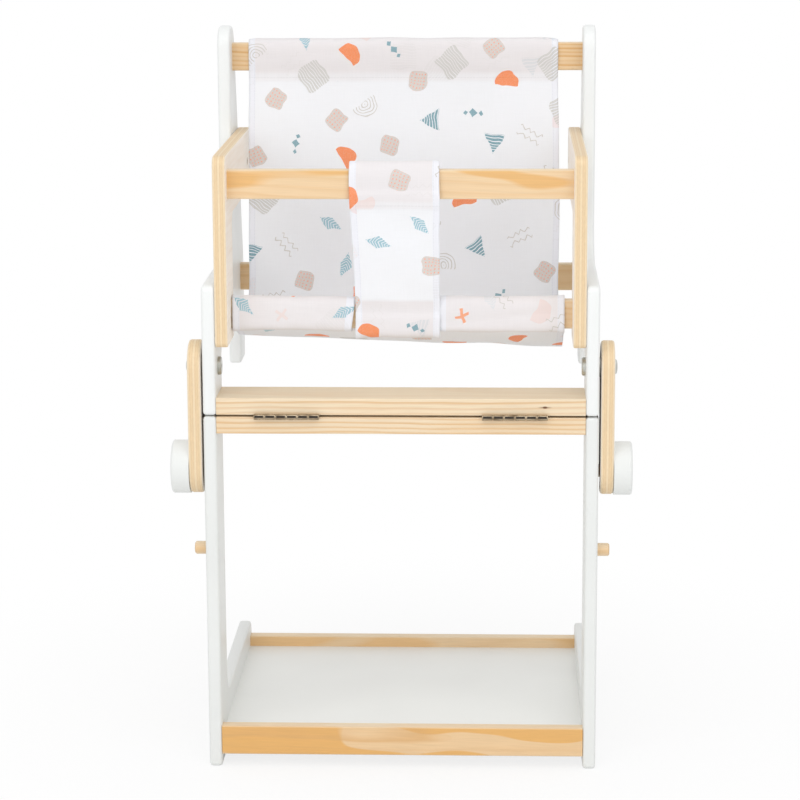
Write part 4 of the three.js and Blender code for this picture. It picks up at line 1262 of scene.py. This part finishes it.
class DOLLCHAIR_OT_sling(bpy.types.Operator):
    """Adds the cotton seat sling that hangs between the top slat and the front slat"""

    bl_idname = "doll_chair.sling"
    bl_label = "Seat sling"

    def execute(self, context):
        cloth = context.scene.doll_chair_cloth
        low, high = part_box("seat_sling")
        top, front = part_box("back_top_slat"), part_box("front_lower_slat")
        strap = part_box("crotch_strap")
        width = high.x - low.x
        over = sleeve_round(top, cloth.slack, crown=3.4 * MM, drop=8 * MM)
        seam = over[-1]
        # The end of the sleeve lies behind the sling, sewn to it at the seam
        hidden = Vector((seam.x + 1.0 * MM, seam.y - 0.4 * MM))
        tucked = Vector((seam.x + 4.0 * MM, seam.y + 2.6 * MM))
        depth = top[0].y - front[1].y
        height = top[0].z - front[0].z
        hang = [Vector((front[1].y + a * depth, front[0].z + b * height)) for a, b in HANG_SHARES]
        under = sleeve_round(front, cloth.slack, crown=2.0 * MM, drop=0.4 * MM)[1:]
        # The other end comes back under the front slat
        ends = [
            Vector((front[0].y + 3.0 * MM, front[0].z - 1.7 * MM)),
            Vector((front[1].y - 1.0 * MM, front[0].z - 1.9 * MM)),
            Vector((front[1].y + 1.6 * MM, front[0].z - 1.7 * MM)),
        ]
        run = ClothRun([hidden, tucked, *over, *hang, *under, *ends], cloth.pitch, seam)
        path, distances, first_seam = run.path, run.distances, run.seam_row
        made, places = cloth_grid("sling_cloth", path, low.x, high.x, cloth.pitch)
        seat_row = min(range(run.rows + 1), key=lambda row: path[row].y)
        # The roll on the front slat starts below and behind it, where the cloth comes from the seat
        last_rows = 14
        roll_row = max(
            row for row in range(run.rows - last_rows)
            if path[row].x > front[1].y and path[row].y < front[0].z
        )
        # The notch is a little narrower than the strap, which hides its edges
        cut_low, cut_high = strap[0].x + 1.1 * MM, strap[1].x - 1.0 * MM
        points = []
        for across, row in places:
            share = (across - low.x) / width
            side = 2 * share - 1
            along = distances[row]
            level = path[row].y
            edge = min(across - low.x, high.x - across)
            rise = along - distances[first_seam]
            seat = bell(along, distances[seat_row], 85 * MM)
            part = {
                "seat": seat,
                "hanging": min(rise / (30 * MM), 1) * (1 - seat) if first_seam < row < seat_row else 0.0,
                "roll": clamp((row - roll_row) / 3),
                "sleeve": 1.0 if row < first_seam else 0.0,
            }
            # The seat hangs lower on the right, and the ripples lie on that
            push = seat * (3.5 - 4.5 * side) * MM
            for name, size, wide, long, seed in SLING_RIPPLES:
                push += part[name] * ripple(size, across * wide, along * long, seed)
            # Upright folds under the top seam, and edges of the roll that stand off
            push += part["hanging"] * 1.2 * MM * math.sin(across * 61 + 1.2) * fade(rise, 90)
            push += part["roll"] * 0.6 * MM * fade(edge, 7)
            # The corners of the sleeve droop over the ends of the slat
            on_crown = part["sleeve"] * bell(level, top[1].z + 3 * MM, 4 * MM)
            push -= on_crown * (1.2 * MM * fade(edge, 3.5) + ripple(0.6, across * 34, 1, 4))
            # The cloth narrows upwards, and its roll leans beside the notch for the strap
            narrow = clamp((distances[roll_row] - along) / (distances[roll_row] - distances[first_seam]))
            x = across + narrow * (2.4 - 5.8 * share) * MM
            x += part["hanging"] * ripple(1.6, along * 14, side, 2.2)
            fallen = clamp((front[1].z - level) / (front[1].z - front[0].z))
            x += (1.0 - 3.0 * fallen) * MM * part["roll"] * bell(across, cut_low, 12 * MM)
            spot = path[row] + run.normal(row) * push
            sunk = share * part["roll"] * MM if level < front[0].z else 0.0
            points.append(Vector((x, spot.x, spot.y - sunk)))

        def in_notch(across, row):
            return cut_low < across < cut_high and row > roll_row - 2

        finish_cloth(made, places, points, run, run.tints(top[0].z, roll_row), in_notch)
        notch = ((cut_low + cut_high) / 2, (cut_high - cut_low) / 2, distances[roll_row])
        middle = (low.x + high.x) / 2
        cotton = printed_cotton("printed_cotton_sling", middle, width / 2, (0, 0), notch)
        made.data.materials.append(cotton)
        stand_for(made, "seat_sling")
        return {"FINISHED"}


class DOLLCHAIR_OT_strap(bpy.types.Operator):
    """Adds the cotton strap between the bar in front of the doll and the slat below it"""

    bl_idname = "doll_chair.strap"
    bl_label = "Crotch strap"

    def execute(self, context):
        cloth = context.scene.doll_chair_cloth
        low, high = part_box("crotch_strap")
        bar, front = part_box("front_upper_slat"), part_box("front_lower_slat")
        slack = cloth.slack
        width = high.x - low.x
        over = sleeve_round(bar, slack, crown=6.0 * MM, drop=5 * MM)
        seam = over[-1]
        hidden = Vector((seam.x + 1.0 * MM, seam.y - 0.4 * MM))
        tucked = Vector((seam.x + 4.0 * MM, seam.y + 1.4 * MM))
        # Down in front of the lower slat, once round it, and back to its front
        around = [
            Vector((front[0].y - slack * 1.4, front[1].z - 1.5 * MM)),
            Vector((front[0].y - slack * 1.7, front[0].z + 9 * MM)),
            Vector((front[0].y - slack * 1.4, front[0].z - 4 * MM)),
            Vector((front[0].y + 2.6 * MM, front[0].z - 7.6 * MM)),
            Vector((front[1].y - 2.0 * MM, front[0].z - 6.8 * MM)),
            Vector((front[1].y + slack * 1.1, front[0].z - 1.0 * MM)),
            Vector((front[1].y + slack * 1.2, front[1].z - 4.0 * MM)),
            Vector((front[1].y - 1.0 * MM, front[1].z + 2.4 * MM)),
            Vector((front[0].y + 2.0 * MM, front[1].z + 2.2 * MM)),
            Vector((front[0].y - slack * 0.5, front[1].z - 1.5 * MM)),
        ]
        pitch = cloth.pitch * 0.8
        run = ClothRun([hidden, tucked, *over, *around], pitch, seam)
        path, distances, first_seam = run.path, run.distances, run.seam_row
        made, places = cloth_grid("strap_cloth", path, low.x, high.x, pitch)
        roll_row = min(row for row in range(first_seam, run.rows) if path[row].y < front[1].z)
        points = []
        for across, row in places:
            share = (across - low.x) / width
            along = distances[row]
            edge = min(across - low.x, high.x - across)
            push = ripple(0.9, across * 40, along * 60, 4.4) + 0.8 * MM * fade(edge, 6)
            if first_seam < row < roll_row:
                push += ripple(1.6, across * 30, along * 22, 5.4)
            if row < first_seam:
                push -= 0.8 * MM * fade(edge, 3.5) * bell(path[row].y, bar[1].z + 6 * MM, 5 * MM)
            # The left edge leans in on the way down
            down = clamp((along - distances[first_seam]) / (distances[roll_row] - distances[first_seam]))
            x = across + 3.0 * MM * down * (1 - share)
            x += ripple(1.1, along * 30, 2 * share - 1, 8.2)
            spot = path[row] + run.normal(row) * push
            points.append(Vector((x, spot.x, spot.y)))
        finish_cloth(made, places, points, run, run.tints(bar[0].z, roll_row))
        middle = (low.x + high.x) / 2
        cotton = printed_cotton("printed_cotton_strap", middle, width / 2, (417, 233))
        made.data.materials.append(cotton)
        stand_for(made, "crotch_strap")
        return {"FINISHED"}


class DOLLCHAIR_PT_panel(bpy.types.Panel):
    """Lists the steps that dress the chair"""

    bl_label = "Doll High Chair"
    bl_idname = "DOLLCHAIR_PT_panel"
    bl_space_type = "VIEW_3D"
    bl_region_type = "UI"
    bl_category = "High Chair"

    def draw(self, context):
        for step in STEPS:
            self.layout.operator(step.bl_idname)


GROUPS = {
    "doll_chair_stage": DollChairStage,
    "doll_chair_wood": DollChairWood,
    "doll_chair_lacquer": DollChairLacquer,
    "doll_chair_metal": DollChairMetal,
    "doll_chair_cloth": DollChairCloth,
}
STEPS = (
    DOLLCHAIR_OT_stage,
    DOLLCHAIR_OT_panels,
    DOLLCHAIR_OT_plywood,
    DOLLCHAIR_OT_boards,
    DOLLCHAIR_OT_pegs,
    DOLLCHAIR_OT_fittings,
    DOLLCHAIR_OT_hinges,
    DOLLCHAIR_OT_sling,
    DOLLCHAIR_OT_strap,
)


def register():
    """Adds the settings, the steps and the panel."""
    for name, group in GROUPS.items():
        bpy.utils.register_class(group)
        setattr(bpy.types.Scene, name, PointerProperty(type=group))
    for step in (*STEPS, DOLLCHAIR_PT_panel):
        bpy.utils.register_class(step)


def unregister():
    """Takes the panel, the steps and the settings away again."""
    for step in (DOLLCHAIR_PT_panel, *reversed(STEPS)):
        bpy.utils.unregister_class(step)
    for name, group in reversed(GROUPS.items()):
        delattr(bpy.types.Scene, name)
        bpy.utils.unregister_class(group)


def main():
    """Dresses the chair step by step."""
    register()
    bpy.ops.doll_chair.stage()
    bpy.ops.doll_chair.panels()
    bpy.ops.doll_chair.plywood()
    bpy.ops.doll_chair.boards()
    bpy.ops.doll_chair.pegs()
    bpy.ops.doll_chair.fittings()
    bpy.ops.doll_chair.hinges()
    bpy.ops.doll_chair.sling()
    bpy.ops.doll_chair.strap()


if __name__ == "__main__":
    main()
